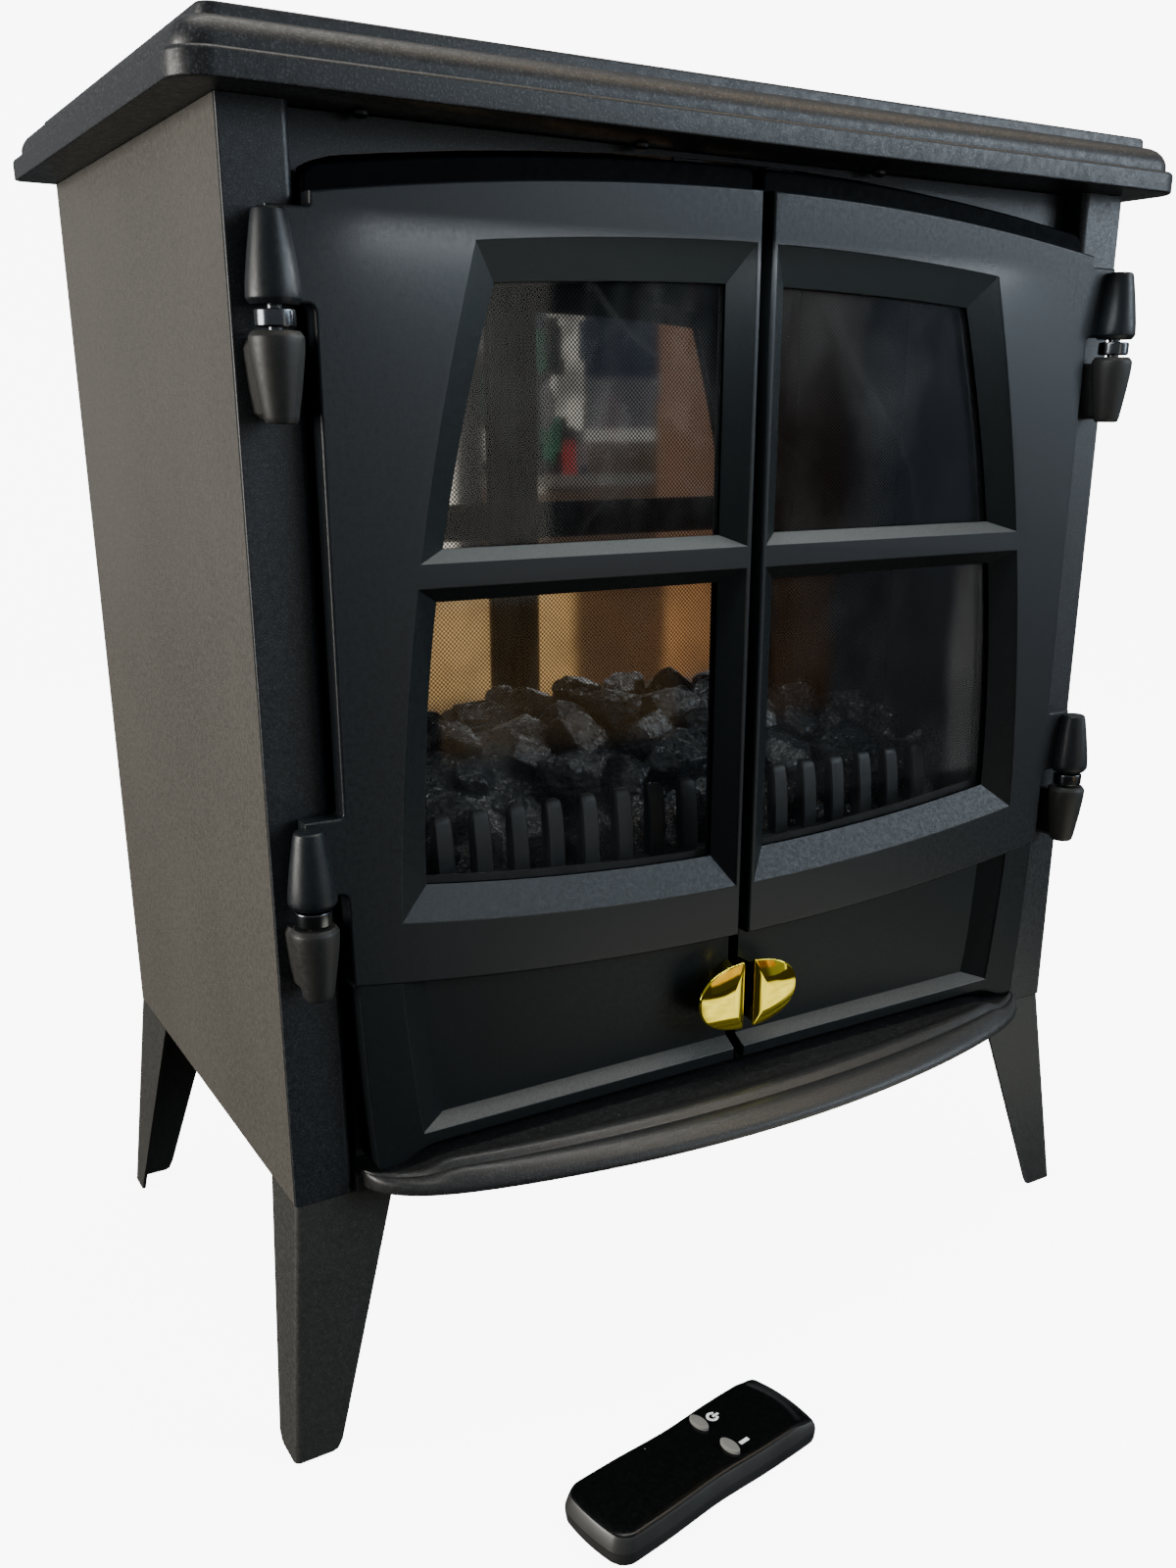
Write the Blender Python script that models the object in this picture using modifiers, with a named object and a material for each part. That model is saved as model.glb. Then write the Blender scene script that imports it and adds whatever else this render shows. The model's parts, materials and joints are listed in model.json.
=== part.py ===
"""Free-standing electric stove heater with two hinged glazed doors, four legs,
a bowed hearth shelf, an artificial coal fire and a two-button remote control.

Units are metres, +Z up, the front faces -Y.  All sizes below are given in the
stove's own frame (floor at z = 0, body centred on x = 0 and y = 0) and the whole
set hangs from one empty that moves it back by SET_BACK, so that the world origin
is the bottom centre of the set with its remote control in front of it.
"""
import bpy
import bmesh
import math
from mathutils import Matrix, Vector

# ------------------------------------------------------------------ dimensions
SET_BACK = 0.0679            # stove centre behind the world origin
BODY_W = 0.2373              # half width of the body
BODY_D = 0.1377              # half depth of the body
BODY_Z0 = 0.1254             # underside of the body
BODY_Z1 = 0.5740             # top of the body, under the top plate
TOP_Z = 0.6005               # overall height
SHEET = 0.0015               # sheet steel of the casing
POST_IN = 0.2098             # inner face of the front posts
POST_Y = -0.1380             # front face of the posts
RAIL_Y = -0.1250             # front face of the arched top rail
PLATE_HALF_W = 0.2570        # top plate half width
PLATE_FRONT = -0.1600
PLATE_BACK = 0.1385
DOOR_OUT = 0.2086            # outer edge of a door
DOOR_GAP = 0.0024            # half of the gap between the doors
DOOR_FRONT = -0.1491         # face of the raised upper part of a door
PAN_FRONT = -0.1405          # face of the door's back pan
PAN_BACK = -0.1385
SKIRT_BACK = -0.1285         # back edge of the door's return flange
ARCH_TOP = 0.5586            # crown of the raised part
ARCH_K = 0.355
RIM_RISE = 0.0098            # the pan rises this much above the raised part
STEP_Z = 0.2143              # lower edge of the raised part at the middle
STEP_K = 0.366
DOOR_Z0 = 0.1445             # bottom edge of a door
HINGE_X = 0.2253
HINGE_Y = -0.1527
HINGE_DROP = 0.2317          # lower hinge below the upper one
GLASS_T = 0.0030
SHELF_Y = -0.1975            # front of the hearth shelf
SCREEN_Y = -0.0207           # front of the reflecting flame screen
FLOOR_Z = 0.2365             # firebox floor
REMOTE_AT = (-0.0975, -0.2541)
REMOTE_TURN = math.radians(9.3)

# --------------------------------------------------------------------- set-up
for ob in list(bpy.data.objects):
    bpy.data.objects.remove(ob, do_unlink=True)

scene = bpy.context.scene
PARTS = bpy.data.collections.new("electric_stove_heater")
CUTTERS = bpy.data.collections.new("cutters")
scene.collection.children.link(PARTS)
scene.collection.children.link(CUTTERS)

stove = bpy.data.objects.new("stove_datum", None)
stove.location = (0, SET_BACK, 0)
PARTS.objects.link(stove)

MATS = {}


def mat(name, rgb, rough, metal=0.0, alpha=1.0):
    if name not in MATS:
        m = bpy.data.materials.new(name)
        m.use_nodes = True
        b = m.node_tree.nodes["Principled BSDF"]
        b.inputs["Base Color"].default_value = (*rgb, 1)
        b.inputs["Roughness"].default_value = rough
        b.inputs["Metallic"].default_value = metal
        b.inputs["Alpha"].default_value = alpha
        MATS[name] = m
    return MATS[name]


BLACK = mat("black_powder_coat", (0.020, 0.022, 0.025), 0.50, 0.0)
SATIN = mat("satin_black_cast", (0.022, 0.023, 0.024), 0.42, 0.0)
INNER = mat("matt_black_liner", (0.012, 0.012, 0.012), 0.80, 0.0)
GLASS = mat("door_glass", (0.55, 0.58, 0.58), 0.05, 0.0, 0.3)
MIRROR = mat("flame_screen_mirror", (0.30, 0.28, 0.25), 0.08, 0.9)
BRASS = mat("polished_brass", (0.83, 0.66, 0.22), 0.12, 1.0)
DARK_CHROME = mat("dark_chrome", (0.22, 0.22, 0.23), 0.18, 1.0)
STEEL = mat("zinc_steel", (0.55, 0.56, 0.57), 0.35, 1.0)
COAL = mat("coal_resin", (0.010, 0.010, 0.011), 0.25, 0.0)
PLASTIC = mat("black_plastic", (0.014, 0.014, 0.015), 0.40, 0.0)
GREY_BUTTON = mat("grey_button", (0.30, 0.31, 0.32), 0.55, 0.0)
BOARD = mat("circuit_board", (0.03, 0.16, 0.07), 0.50, 0.0)
COPPER = mat("resistance_wire", (0.45, 0.33, 0.26), 0.40, 1.0)
MICA = mat("mica_board", (0.52, 0.44, 0.30), 0.60, 0.0)
CELL = mat("battery_jacket", (0.10, 0.11, 0.12), 0.35, 0.0)
SMOKED = mat("infra_red_lens", (0.08, 0.01, 0.02), 0.10, 0.0)


def finish(ob, name, material, smooth=None, parent=stove):
    ob.name = name
    ob.data.name = name
    ob.data.materials.clear()
    ob.data.materials.append(material)
    if ob.parent is None:
        ob.parent = parent
    tools = [m.object for m in ob.modifiers if m.type == "BOOLEAN"]
    while tools:                                   # cutters ride with what they cut
        t = tools.pop()
        t.parent = ob.parent
        tools += [m.object for m in t.modifiers if m.type == "BOOLEAN"]
    if smooth is not None:
        ob.data.shade_smooth()
        ob.data.set_sharp_from_angle(angle=math.radians(smooth))
    return ob


def new_object(name, mesh, collection=None):
    ob = bpy.data.objects.new(name, mesh)
    (collection or PARTS).objects.link(ob)
    return ob


def as_cutter(ob):
    """Hide an object that only shapes another one."""
    for c in list(ob.users_collection):
        c.objects.unlink(ob)
    CUTTERS.objects.link(ob)
    ob.hide_render = True
    ob.display_type = "WIRE"
    return ob


def boolean(target, tool, operation):
    as_cutter(tool)
    md = target.modifiers.new(operation.lower() + "_" + tool.name, "BOOLEAN")
    md.object = tool
    md.operation = operation
    md.solver = "EXACT"
    return target


def cut(target, tool):
    return boolean(target, tool, "DIFFERENCE")


def join(target, tool):
    return boolean(target, tool, "UNION")


def box(name, lo, hi, bevel=0.0, rot=None, pivot=None):
    """A block between two corners, from a cube primitive."""
    me = bpy.data.meshes.new(name)
    bm = bmesh.new()
    bmesh.ops.create_cube(bm, size=1.0)
    c = [(a + b) / 2 for a, b in zip(lo, hi)]
    s = [abs(b - a) for a, b in zip(lo, hi)]
    bmesh.ops.scale(bm, vec=s, verts=bm.verts)
    bmesh.ops.translate(bm, vec=c, verts=bm.verts)
    if bevel:
        bmesh.ops.bevel(bm, geom=list(bm.edges), offset=bevel, segments=1, affect="EDGES")
    if rot is not None:
        bmesh.ops.rotate(bm, verts=bm.verts, cent=pivot or c, matrix=rot)
    bm.to_mesh(me)
    bm.free()
    return new_object(name, me)


def boxes(name, spans, bevel=0.0):
    """Several separate blocks in one object, such as a set of equal clips."""
    me = bpy.data.meshes.new(name)
    bm = bmesh.new()
    for lo, hi in spans:
        r = bmesh.ops.create_cube(bm, size=1.0)
        vs = r["verts"]
        c = [(a + b) / 2 for a, b in zip(lo, hi)]
        s = [abs(b - a) for a, b in zip(lo, hi)]
        bmesh.ops.scale(bm, vec=s, verts=vs)
        bmesh.ops.translate(bm, vec=c, verts=vs)
    if bevel:
        bmesh.ops.bevel(bm, geom=list(bm.edges), offset=bevel, segments=1, affect="EDGES")
    bm.to_mesh(me)
    bm.free()
    return new_object(name, me)


def cylinders(name, items, segments=16):
    """Separate round bars: (start, end, radius at start, radius at end)."""
    me = bpy.data.meshes.new(name)
    bm = bmesh.new()
    for a, b, r0, r1 in items:
        a, b = Vector(a), Vector(b)
        d = b - a
        m = Matrix.Translation((a + b) / 2) @ d.to_track_quat("Z", "Y").to_matrix().to_4x4()
        bmesh.ops.create_cone(bm, cap_ends=True, cap_tris=False, segments=segments,
                              radius1=r0, radius2=r1, depth=d.length, matrix=m)
    bm.to_mesh(me)
    bm.free()
    return new_object(name, me)


def mesh_of(ob):
    """Turn a curve or a modified object into a plain closed mesh."""
    dg = bpy.context.evaluated_depsgraph_get()
    dg.update()
    me = bpy.data.meshes.new_from_object(ob.evaluated_get(dg), preserve_all_data_layers=False, depsgraph=dg)
    bm = bmesh.new()
    bm.from_mesh(me)
    bmesh.ops.remove_doubles(bm, verts=bm.verts, dist=2e-6)
    bmesh.ops.recalc_face_normals(bm, faces=bm.faces)
    bm.to_mesh(me)
    bm.free()
    out = new_object(ob.name, me)
    out.matrix_world = ob.matrix_world.copy()
    bpy.data.objects.remove(ob, do_unlink=True)
    return out


PLANES = {
    "XZ": Matrix(((1, 0, 0, 0), (0, 0, -1, 0), (0, 1, 0, 0), (0, 0, 0, 1))),   # u=X v=Z, thickness along Y
    "XY": Matrix.Identity(4),                                                 # u=X v=Y, thickness along Z
    "YZ": Matrix(((0, 0, 1, 0), (1, 0, 0, 0), (0, 1, 0, 0), (0, 0, 0, 1))),   # u=Y v=Z, thickness along X
}


def plate(name, loops, a, b, plane="XZ"):
    """Flat outline (or outline with holes) of the thickness from a to b."""
    if not isinstance(loops[0][0], (tuple, list)):
        loops = [loops]
    cu = bpy.data.curves.new(name, "CURVE")
    cu.dimensions = "2D"
    cu.fill_mode = "BOTH"
    cu.extrude = abs(b - a) / 2
    for pts in loops:
        sp = cu.splines.new("POLY")
        sp.points.add(len(pts) - 1)
        for p, (u, v) in zip(sp.points, pts):
            p.co = (u, v, 0, 1)
        sp.use_cyclic_u = True
    ob = bpy.data.objects.new(name, cu)
    PARTS.objects.link(ob)
    mid = (a + b) / 2
    # the curve's own normal runs along -Y for "XZ", +Z for "XY" and +X for "YZ"
    off = {"XZ": (0, mid, 0), "XY": (0, 0, mid), "YZ": (mid, 0, 0)}[plane]
    ob.matrix_world = Matrix.Translation(off) @ PLANES[plane]
    ob = mesh_of(ob)
    bake(ob)
    return ob


def bake(ob):
    """Move an object's placement into its mesh."""
    ob.data.transform(ob.matrix_world)
    ob.matrix_world = Matrix.Identity(4)
    return ob


def turned(name, profile, at, axis="Z", steps=20):
    """Screw a profile, listed down its outer side, about an axis."""
    me = bpy.data.meshes.new(name)
    bm = bmesh.new()
    vs = [bm.verts.new((r, 0, z)) for r, z in profile]
    for p, q in zip(vs, vs[1:]):
        bm.edges.new((p, q))
    bm.to_mesh(me)
    bm.free()
    ob = new_object(name, me)
    md = ob.modifiers.new("screw", "SCREW")
    md.angle = 2 * math.pi
    md.axis = "Z"
    md.steps = steps
    md.render_steps = steps
    md.use_merge_vertices = True
    md.merge_threshold = 0.00005
    md.use_normal_calculate = False
    rot = {"Z": Matrix.Identity(4),
           "Y": Matrix.Rotation(math.radians(90), 4, "X"),       # profile +z runs along -Y
           "X": Matrix.Rotation(math.radians(90), 4, "Y")}[axis]  # profile +z runs along +X
    ob.matrix_world = Matrix.Translation(at) @ rot
    ob = mesh_of(ob)
    bake(ob)
    return ob


def loft(name, rings, closed_ring=True):
    """Skin through rings of equal point count, first and last ring capped."""
    me = bpy.data.meshes.new(name)
    bm = bmesh.new()
    rows = [[bm.verts.new(p) for p in ring] for ring in rings]
    n = len(rows[0])
    for r0, r1 in zip(rows, rows[1:]):
        for i in range(n if closed_ring else n - 1):
            j = (i + 1) % n
            bm.faces.new((r0[i], r0[j], r1[j], r1[i]))
    bm.faces.new(list(reversed(rows[0])))
    bm.faces.new(rows[-1])
    bmesh.ops.recalc_face_normals(bm, faces=bm.faces)
    bm.to_mesh(me)
    bm.free()
    return new_object(name, me)


def tube(name, pts, radius, res=1):
    """A bent wire or tube on a poly line with filled ends."""
    cu = bpy.data.curves.new(name, "CURVE")
    cu.dimensions = "3D"
    cu.bevel_depth = radius
    cu.bevel_resolution = res
    cu.use_fill_caps = True
    sp = cu.splines.new("POLY")
    sp.points.add(len(pts) - 1)
    for p, co in zip(sp.points, pts):
        p.co = (*co, 1)
    ob = bpy.data.objects.new(name, cu)
    PARTS.objects.link(ob)
    return mesh_of(ob)


def lin(a, b, n):
    return [a + (b - a) * i / (n - 1) for i in range(n)]


def mirror_x(pts):
    return [(-u, v) for u, v in reversed(pts)]


# --------------------------------------------------------------- casing panels
# side panels: sheet with a return flange front and back
def side_outline():
    w, t = BODY_W, SHEET
    f, b = -0.1368, BODY_D
    return [(w, f), (w, b), (w - 0.012, b), (w - 0.012, b - t), (w - t, b - t),
            (w - t, f + t), (w - 0.0011 - t, f + t), (w - 0.0011 - t, f)]


right = plate("side_panel_right", side_outline(), BODY_Z0, BODY_Z1, "XY")
finish(right, "side_panel_right", BLACK)
left = plate("side_panel_left", mirror_x(side_outline()), BODY_Z0, BODY_Z1, "XY")
finish(left, "side_panel_left", BLACK)


# front posts: folded channel with rounded vertical corners
def post_points():
    """Plain closed channel: three walls of folded sheet."""
    x0, x1, y0, y1, t, r = POST_IN, BODY_W - 0.0029, POST_Y, -0.1120, 0.0020, 0.0030
    p = [(x0, y1), (x0, y0 + r)]
    p += [(x0 + r - r * math.cos(math.radians(a)), y0 + r - r * math.sin(math.radians(a))) for a in (30, 60)]
    p += [(x0 + r, y0), (x1 - r, y0)]
    p += [(x1 - r + r * math.sin(math.radians(a)), y0 + r - r * math.cos(math.radians(a))) for a in (30, 60)]
    p += [(x1, y0 + r), (x1, y1), (x1 - t, y1), (x1 - t, y0 + r), (x0 + t, y0 + r), (x0 + t, y1)]
    return p


# arched top rail between the posts
arch_crown = ARCH_TOP + RIM_RISE + 0.0035
rail = [(-POST_IN + 0.0004, BODY_Z1 - 0.0002), (-POST_IN + 0.0004, 0.5520)]
rail += [(x, arch_crown - ARCH_K * x * x - 0.0045 * max(0, (abs(x) - 0.190) / 0.016) ** 2)
         for x in [-0.206, -0.203, -0.199, -0.190] + lin(-0.170, 0.170, 11) + [0.190, 0.199, 0.203, 0.206]]
rail += [(POST_IN - 0.0004, 0.5520), (POST_IN - 0.0004, BODY_Z1 - 0.0002)]
ob = plate("front_top_rail", rail, RAIL_Y, RAIL_Y + 0.0016, "XZ")
lip = box("rail_lip", (-POST_IN + 0.0004, RAIL_Y + 0.0008, BODY_Z1 - 0.0018), (POST_IN - 0.0004, RAIL_Y + 0.0120, BODY_Z1 - 0.0002))
join(ob, lip)
finish(ob, "front_top_rail", BLACK)

# base tray and back panel
tray = box("base_tray", (-BODY_W + 0.0018, -0.1085, BODY_Z0 + 0.0002), (BODY_W - 0.0018, BODY_D - 0.0034, BODY_Z0 + 0.0017))
front_leg = box("tray_front", (-POST_IN + 0.0004, -0.1350, BODY_Z0 + 0.0002), (POST_IN - 0.0004, -0.1080, BODY_Z0 + 0.0017))
join(tray, front_leg)
slot = box("outlet_cut", (-0.1050, -0.1180, 0.1200), (0.1050, -0.0880, 0.1300))
cut(tray, slot)
slot2 = box("intake_cut", (-0.0950, -0.0560, 0.1200), (0.0950, -0.0200, 0.1300))
cut(tray, slot2)
finish(tray, "base_tray", BLACK)

back_holes = [[(-BODY_W + 0.0020, 0.1275), (BODY_W - 0.0020, 0.1275), (BODY_W - 0.0020, 0.5720), (-BODY_W + 0.0020, 0.5720)]]
for zc in (0.500, 0.512, 0.524, 0.536):
    for xc in (-0.10, 0.0, 0.10):
        back_holes.append([(xc - 0.030, zc - 0.0025), (xc + 0.030, zc - 0.0025), (xc + 0.030, zc + 0.0025), (xc - 0.030, zc + 0.0025)])
gx, gz, gr = 0.190, 0.158, 0.0078
back_holes.append([(gx + gr * math.cos(math.tau * k / 16), gz + gr * math.sin(math.tau * k / 16)) for k in range(16)])
ob = plate("back_panel", back_holes, BODY_D - 0.0032, BODY_D - 0.0018, "XZ")
finish(ob, "back_panel", BLACK)

gland = [(0.0, 0.0085), (0.0052, 0.0085), (0.0064, 0.0065), (0.0070, 0.0030), (0.0100, 0.0028), (0.0100, 0.0003),
         (0.0073, 0.0001), (0.0073, -0.0022), (0.0088, -0.0026), (0.0088, -0.0050), (0.0, -0.0050)]
ob = turned("cable_inlet_gland", gland, (gx, BODY_D - 0.0018 + 0.0003, gz), "Y", 20)
bm_t = Matrix.Translation((0, 2 * (BODY_D - 0.0018 + 0.0003), 0)) @ Matrix.Scale(-1, 4, (0, 1, 0))
ob.data.transform(bm_t)
ob.data.flip_normals()
finish(ob, "cable_inlet_gland", PLASTIC, 40)

# ---------------------------------------------------------- moulded top plate
def plan_ring(inset, z, back_inset=None, r=0.0140, rb=0.0030, n=6):
    """Rounded rectangle in plan at a height, counted from the plate's edge."""
    bi = inset if back_inset is None else back_inset
    w = PLATE_HALF_W - inset
    f = PLATE_FRONT + inset
    b = PLATE_BACK - bi
    rf = max(r - inset, 0.0015)
    out = []
    for cx, cy, rad, a0 in ((-w + rf, f + rf, rf, 180), (w - rf, f + rf, rf, 270), (w - rb, b - rb, rb, 0), (-w + rb, b - rb, rb, 90)):
        for k in range(n):
            a = math.radians(a0 + 90 * k / (n - 1))
            out.append((cx + rad * math.cos(a), cy + rad * math.sin(a), z))
    return out




def plate_rings(rings_):
    """Stretch the moulding upwards from its lower rim to the full height."""
    k = (TOP_Z - 0.5765) / (0.5980 - 0.5765)
    return [[(x, y, z if z < 0.5765 else 0.5765 + (z - 0.5765) * k) for x, y, z in r] for r in rings_]


Z = 0.5980
rings = [plan_ring(0.0008, 0.5743), plan_ring(0.0, 0.5752), plan_ring(0.0, 0.5826), plan_ring(0.0010, 0.5834),
         plan_ring(0.0032, 0.5838), plan_ring(0.0034, 0.5850, rb=0.006), plan_ring(0.0045, 0.5884, rb=0.007),
         plan_ring(0.0070, 0.5916, rb=0.008), plan_ring(0.0105, 0.5935, rb=0.006), plan_ring(0.0133, 0.5940, r=0.0160, rb=0.003),
         plan_ring(0.0135, Z - 0.0005, r=0.0160), plan_ring(0.0140, Z, r=0.0160)]
ob = loft("top_plate", plate_rings(rings))
hollow = loft("plate_hollow", plate_rings([plan_ring(0.0018, 0.5760), plan_ring(0.0018, 0.5820), plan_ring(0.0052, 0.5836, rb=0.006), plan_ring(0.0065, 0.5878, rb=0.007),
                               plan_ring(0.0120, 0.5918, rb=0.006), plan_ring(0.0152, 0.5924, r=0.0160), plan_ring(0.0155, Z - 0.0018, r=0.0160)]))
cut(ob, hollow)
mouth = box("plate_mouth", (-0.2150, -0.1120, 0.5700), (0.2150, 0.1120, 0.5800))
cut(ob, mouth)
for i, x in enumerate((-0.1800, -0.0550, 0.0766)):
    cut(ob, cylinders("screw_hole_%d" % i, [((x, -0.1310, 0.5700), (x, -0.1310, 0.5785), 0.0019, 0.0019)], 12))
finish(ob, "top_plate", BLACK, 35)

# ------------------------------------------------------------------------ legs
def sheet_leg(name, sx, sy, front):
    """L-section pressed leg: two tapered flanges that meet at a splayed corner."""
    top_x, top_y = BODY_W, BODY_D + 0.0003
    bot_x, bot_y = BODY_W + 0.0132, BODY_D + (0.0138 if front else 0.0113)
    t = 0.0018
    side_top = 0.0335 if front else 0.0545
    fx_top, fx_bot = 0.0475, 0.0235
    zt = BODY_Z0 - 0.0003
    r = 0.0035

    def flange(corner_top, corner_bot, dir_, wt, wb, normal):
        """Outline in the flange's own plane, lofted as a thin slab."""
        dir_ = Vector(dir_)
        nrm = Vector(normal) * t
        ct, cb = Vector(corner_top), Vector(corner_bot)
        up = (ct - cb)
        k = r / up.length
        outer = [ct, ct + dir_ * wt,
                 cb + dir_ * wb + up * (r * 2.2 / up.length) + dir_ * ((wt - wb) * r * 2.2 / up.length),
                 cb + dir_ * (wb - r * 0.35) + up * (r * 0.55 / up.length),
                 cb + dir_ * (wb - r * 1.3), cb]
        inner = [p + nrm for p in outer]
        return [tuple(p) for p in outer], [tuple(p) for p in inner]

    ct = (sx * top_x, sy * top_y, zt)
    cb = (sx * bot_x, sy * bot_y, 0.0)
    a0, a1 = flange(ct, cb, (-sx, 0, 0), fx_top, fx_bot, (0, -sy, 0))
    b0, b1 = flange(ct, cb, (0, -sy, 0), side_top, 0.0215, (-sx, 0, 0))
    fa = loft(name, [a0, a1])
    fb = loft(name + "_side", [b0, b1])
    join(fa, fb)
    gus = box(name + "_gusset", (min(sx * (top_x - 0.0005), sx * (top_x - 0.030)), min(sy * (top_y - 0.0005), sy * (top_y - 0.027)), zt - 0.0020),
              (max(sx * (top_x - 0.0005), sx * (top_x - 0.030)), max(sy * (top_y - 0.0005), sy * (top_y - 0.027)), zt - 0.0001))
    join(fa, gus)
    finish(fa, name, BLACK)


sheet_leg("leg_front_left", -1, -1, True)
sheet_leg("leg_front_right", 1, -1, True)
sheet_leg("leg_rear_left", -1, 1, False)
sheet_leg("leg_rear_right", 1, 1, False)

# ---------------------------------------------------------------- hearth shelf
def shelf_section(u):
    """Upright slice of the bowed shelf at a share u of its half width: nose, outer band, bead, flat."""
    yb = POST_Y - 0.0004
    f = (1 - 0.609 * u * u) * math.sqrt(max(0.0, 1 - abs(u) ** 14))
    moulding = ((0.0025, 0.1292), (0.0005, 0.1299), (0.0, 0.1312), (0.0005, 0.1326), (0.0025, 0.1343), (0.0080, 0.1362), (0.0120, 0.1367),
                (0.0150, 0.1360), (0.0175, 0.1368), (0.0200, 0.1371), (0.0225, 0.1368), (0.0255, 0.1360), (0.0280, 0.1355))
    pts = [(0.2065 * u, yb - (yb - SHELF_Y - s_) * f, z_) for s_, z_ in moulding]
    return pts + [(0.2065 * u, yb, 0.1355), (0.2065 * u, yb, 0.1292)]


ob = loft("hearth_shelf", [shelf_section(-0.996 * math.cos(math.pi * k / 20)) for k in range(21)])
tongue = box("shelf_tongue", (-0.1950, -0.1405, 0.1304), (0.1950, -0.1232, 0.1336))
join(ob, tongue)
finish(ob, "hearth_shelf", BLACK, 50)

# --------------------------------------------------------------- firebox walls
ROT_Y, ROT_Z = 0.0350, 0.2700
WALL = [(-0.1215, 0.2385), (0.0600, 0.2385), (0.0600, 0.5700), (-0.1215, 0.5700)]
bush_hole = [(ROT_Y + 0.0030 * math.cos(math.tau * k / 12), ROT_Z + 0.0030 * math.sin(math.tau * k / 12)) for k in range(12)]
ob = plate("firebox_wall_left", [WALL, bush_hole], -0.2040, -0.2028, "YZ")
finish(ob, "firebox_wall_left", INNER)
ob = plate("firebox_wall_right", WALL, 0.2028, 0.2040, "YZ")
finish(ob, "firebox_wall_right", INNER)
ob = box("firebox_floor", (-0.2040, -0.1215, FLOOR_Z), (0.2040, -0.0240, FLOOR_Z + 0.0015))
finish(ob, "firebox_floor", INNER)
ob = box("flame_screen", (-0.2024, SCREEN_Y, 0.2385), (0.2024, SCREEN_Y + 0.0030, 0.5636))
finish(ob, "flame_screen", MIRROR)

# fret: comb of round-topped bars in front of the coals
BAR_PITCH, BAR_W, BAR_TOP, FRET_Y = 0.0200, 0.0092, 0.2880, -0.1145
comb = [(-0.1990, 0.2384), (0.1990, 0.2384), (0.1990, 0.2500)]
for k in range(8, -9, -1):
    if k == 0:
        continue
    xc = (abs(k) - 0.5) * BAR_PITCH * (1 if k > 0 else -1)
    h = BAR_W / 2
    comb += [(xc + h, 0.2500), (xc + h, BAR_TOP - 0.0030), (xc + h * 0.55, BAR_TOP - 0.0006), (xc - h * 0.55, BAR_TOP - 0.0006),
             (xc - h, BAR_TOP - 0.0030), (xc - h, 0.2500)]
comb.append((-0.1990, 0.2500))
ob = plate("fire_fret", comb, FRET_Y, FRET_Y + 0.0070, "XZ")
finish(ob, "fire_fret", SATIN)


# coal bed: one moulded mound of resin coal
def coal_height(x, y):
    t = (y + 0.104) / 0.078                      # 0 at the fret, 1 at the screen
    base = 0.262 + 0.068 * math.sin(min(1.0, t) * math.pi * 0.5) - 0.9 * max(0.0, abs(x) - 0.10) ** 2 * 6
    bumps = 0.0045 * math.sin(x * 210 + 1.3) * math.cos(y * 190 + x * 60) + 0.003 * math.sin(x * 95 + y * 140)
    return max(0.2480, base + bumps)


nx, ny = 26, 7
xs = lin(-0.1960, 0.1960, nx)
ys = lin(-0.1040, -0.0260, ny)
me = bpy.data.meshes.new("coal_bed")
bm = bmesh.new()
bmesh.ops.create_grid(bm, x_segments=nx - 1, y_segments=ny - 1, size=1.0)
for v in bm.verts:
    x = v.co.x * 0.1960
    y = -0.0650 + v.co.y * 0.0390
    v.co = (x, y, coal_height(x, y))
geo = bmesh.ops.extrude_face_region(bm, geom=list(bm.faces))
for v in [g for g in geo["geom"] if isinstance(g, bmesh.types.BMVert)]:
    v.co.z = FLOOR_Z + 0.0019
bmesh.ops.recalc_face_normals(bm, faces=bm.faces)
bm.to_mesh(me)
bm.free()
ob = new_object("coal_bed", me)
me = bpy.data.meshes.new("coal_hollow")
bm = bmesh.new()
bmesh.ops.create_grid(bm, x_segments=14, y_segments=4, size=1.0)
for v in bm.verts:
    x, y = v.co.x * 0.1820, -0.0640 + v.co.y * 0.0300
    v.co = (x, y, max(FLOOR_Z + 0.0060, coal_height(x, y) - 0.0100))
geo = bmesh.ops.extrude_face_region(bm, geom=list(bm.faces))
for v in [g for g in geo["geom"] if isinstance(g, bmesh.types.BMVert)]:
    v.co.z = FLOOR_Z - 0.0050
bmesh.ops.recalc_face_normals(bm, faces=bm.faces)
bm.to_mesh(me)
bm.free()
cut(ob, new_object("coal_hollow", me))
finish(ob, "coal_bed", COAL)

# ------------------------------------------------------ flame effect mechanism
led = boxes("lamp_board", [((-0.1700, 0.0050, 0.2440), (0.1700, 0.0170, 0.2456))])
for k in range(7):
    d = box("led_%d" % k, (-0.1530 + 0.0500 * k, 0.0085, 0.2450), (-0.1470 + 0.0500 * k, 0.0135, 0.2472))
    join(led, d)
finish(led, "lamp_board", BOARD)

rod = cylinders("flame_rotor", [((-0.2060, ROT_Y, ROT_Z), (0.1765, ROT_Y, ROT_Z), 0.0025, 0.0025)], 10)
for k in range(7):
    xc = -0.1500 + 0.0500 * k
    ang = math.radians(45 * k)
    p = box("paddle_%d" % k, (xc - 0.0160, ROT_Y - 0.0190, ROT_Z - 0.0004), (xc + 0.0160, ROT_Y + 0.0190, ROT_Z + 0.0004),
            rot=Matrix.Rotation(ang, 3, "X"), pivot=(xc, ROT_Y, ROT_Z))
    join(rod, p)
finish(rod, "flame_rotor", STEEL)

motor = cylinders("rotor_motor", [((0.1800, ROT_Y, ROT_Z), (0.2025, ROT_Y, ROT_Z), 0.0240, 0.0240)], 20)
boss = cylinders("motor_boss", [((0.1770, ROT_Y, ROT_Z), (0.1805, ROT_Y, ROT_Z), 0.0060, 0.0060)], 12)
join(motor, boss)
finish(motor, "rotor_motor", STEEL, 40)
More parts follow.
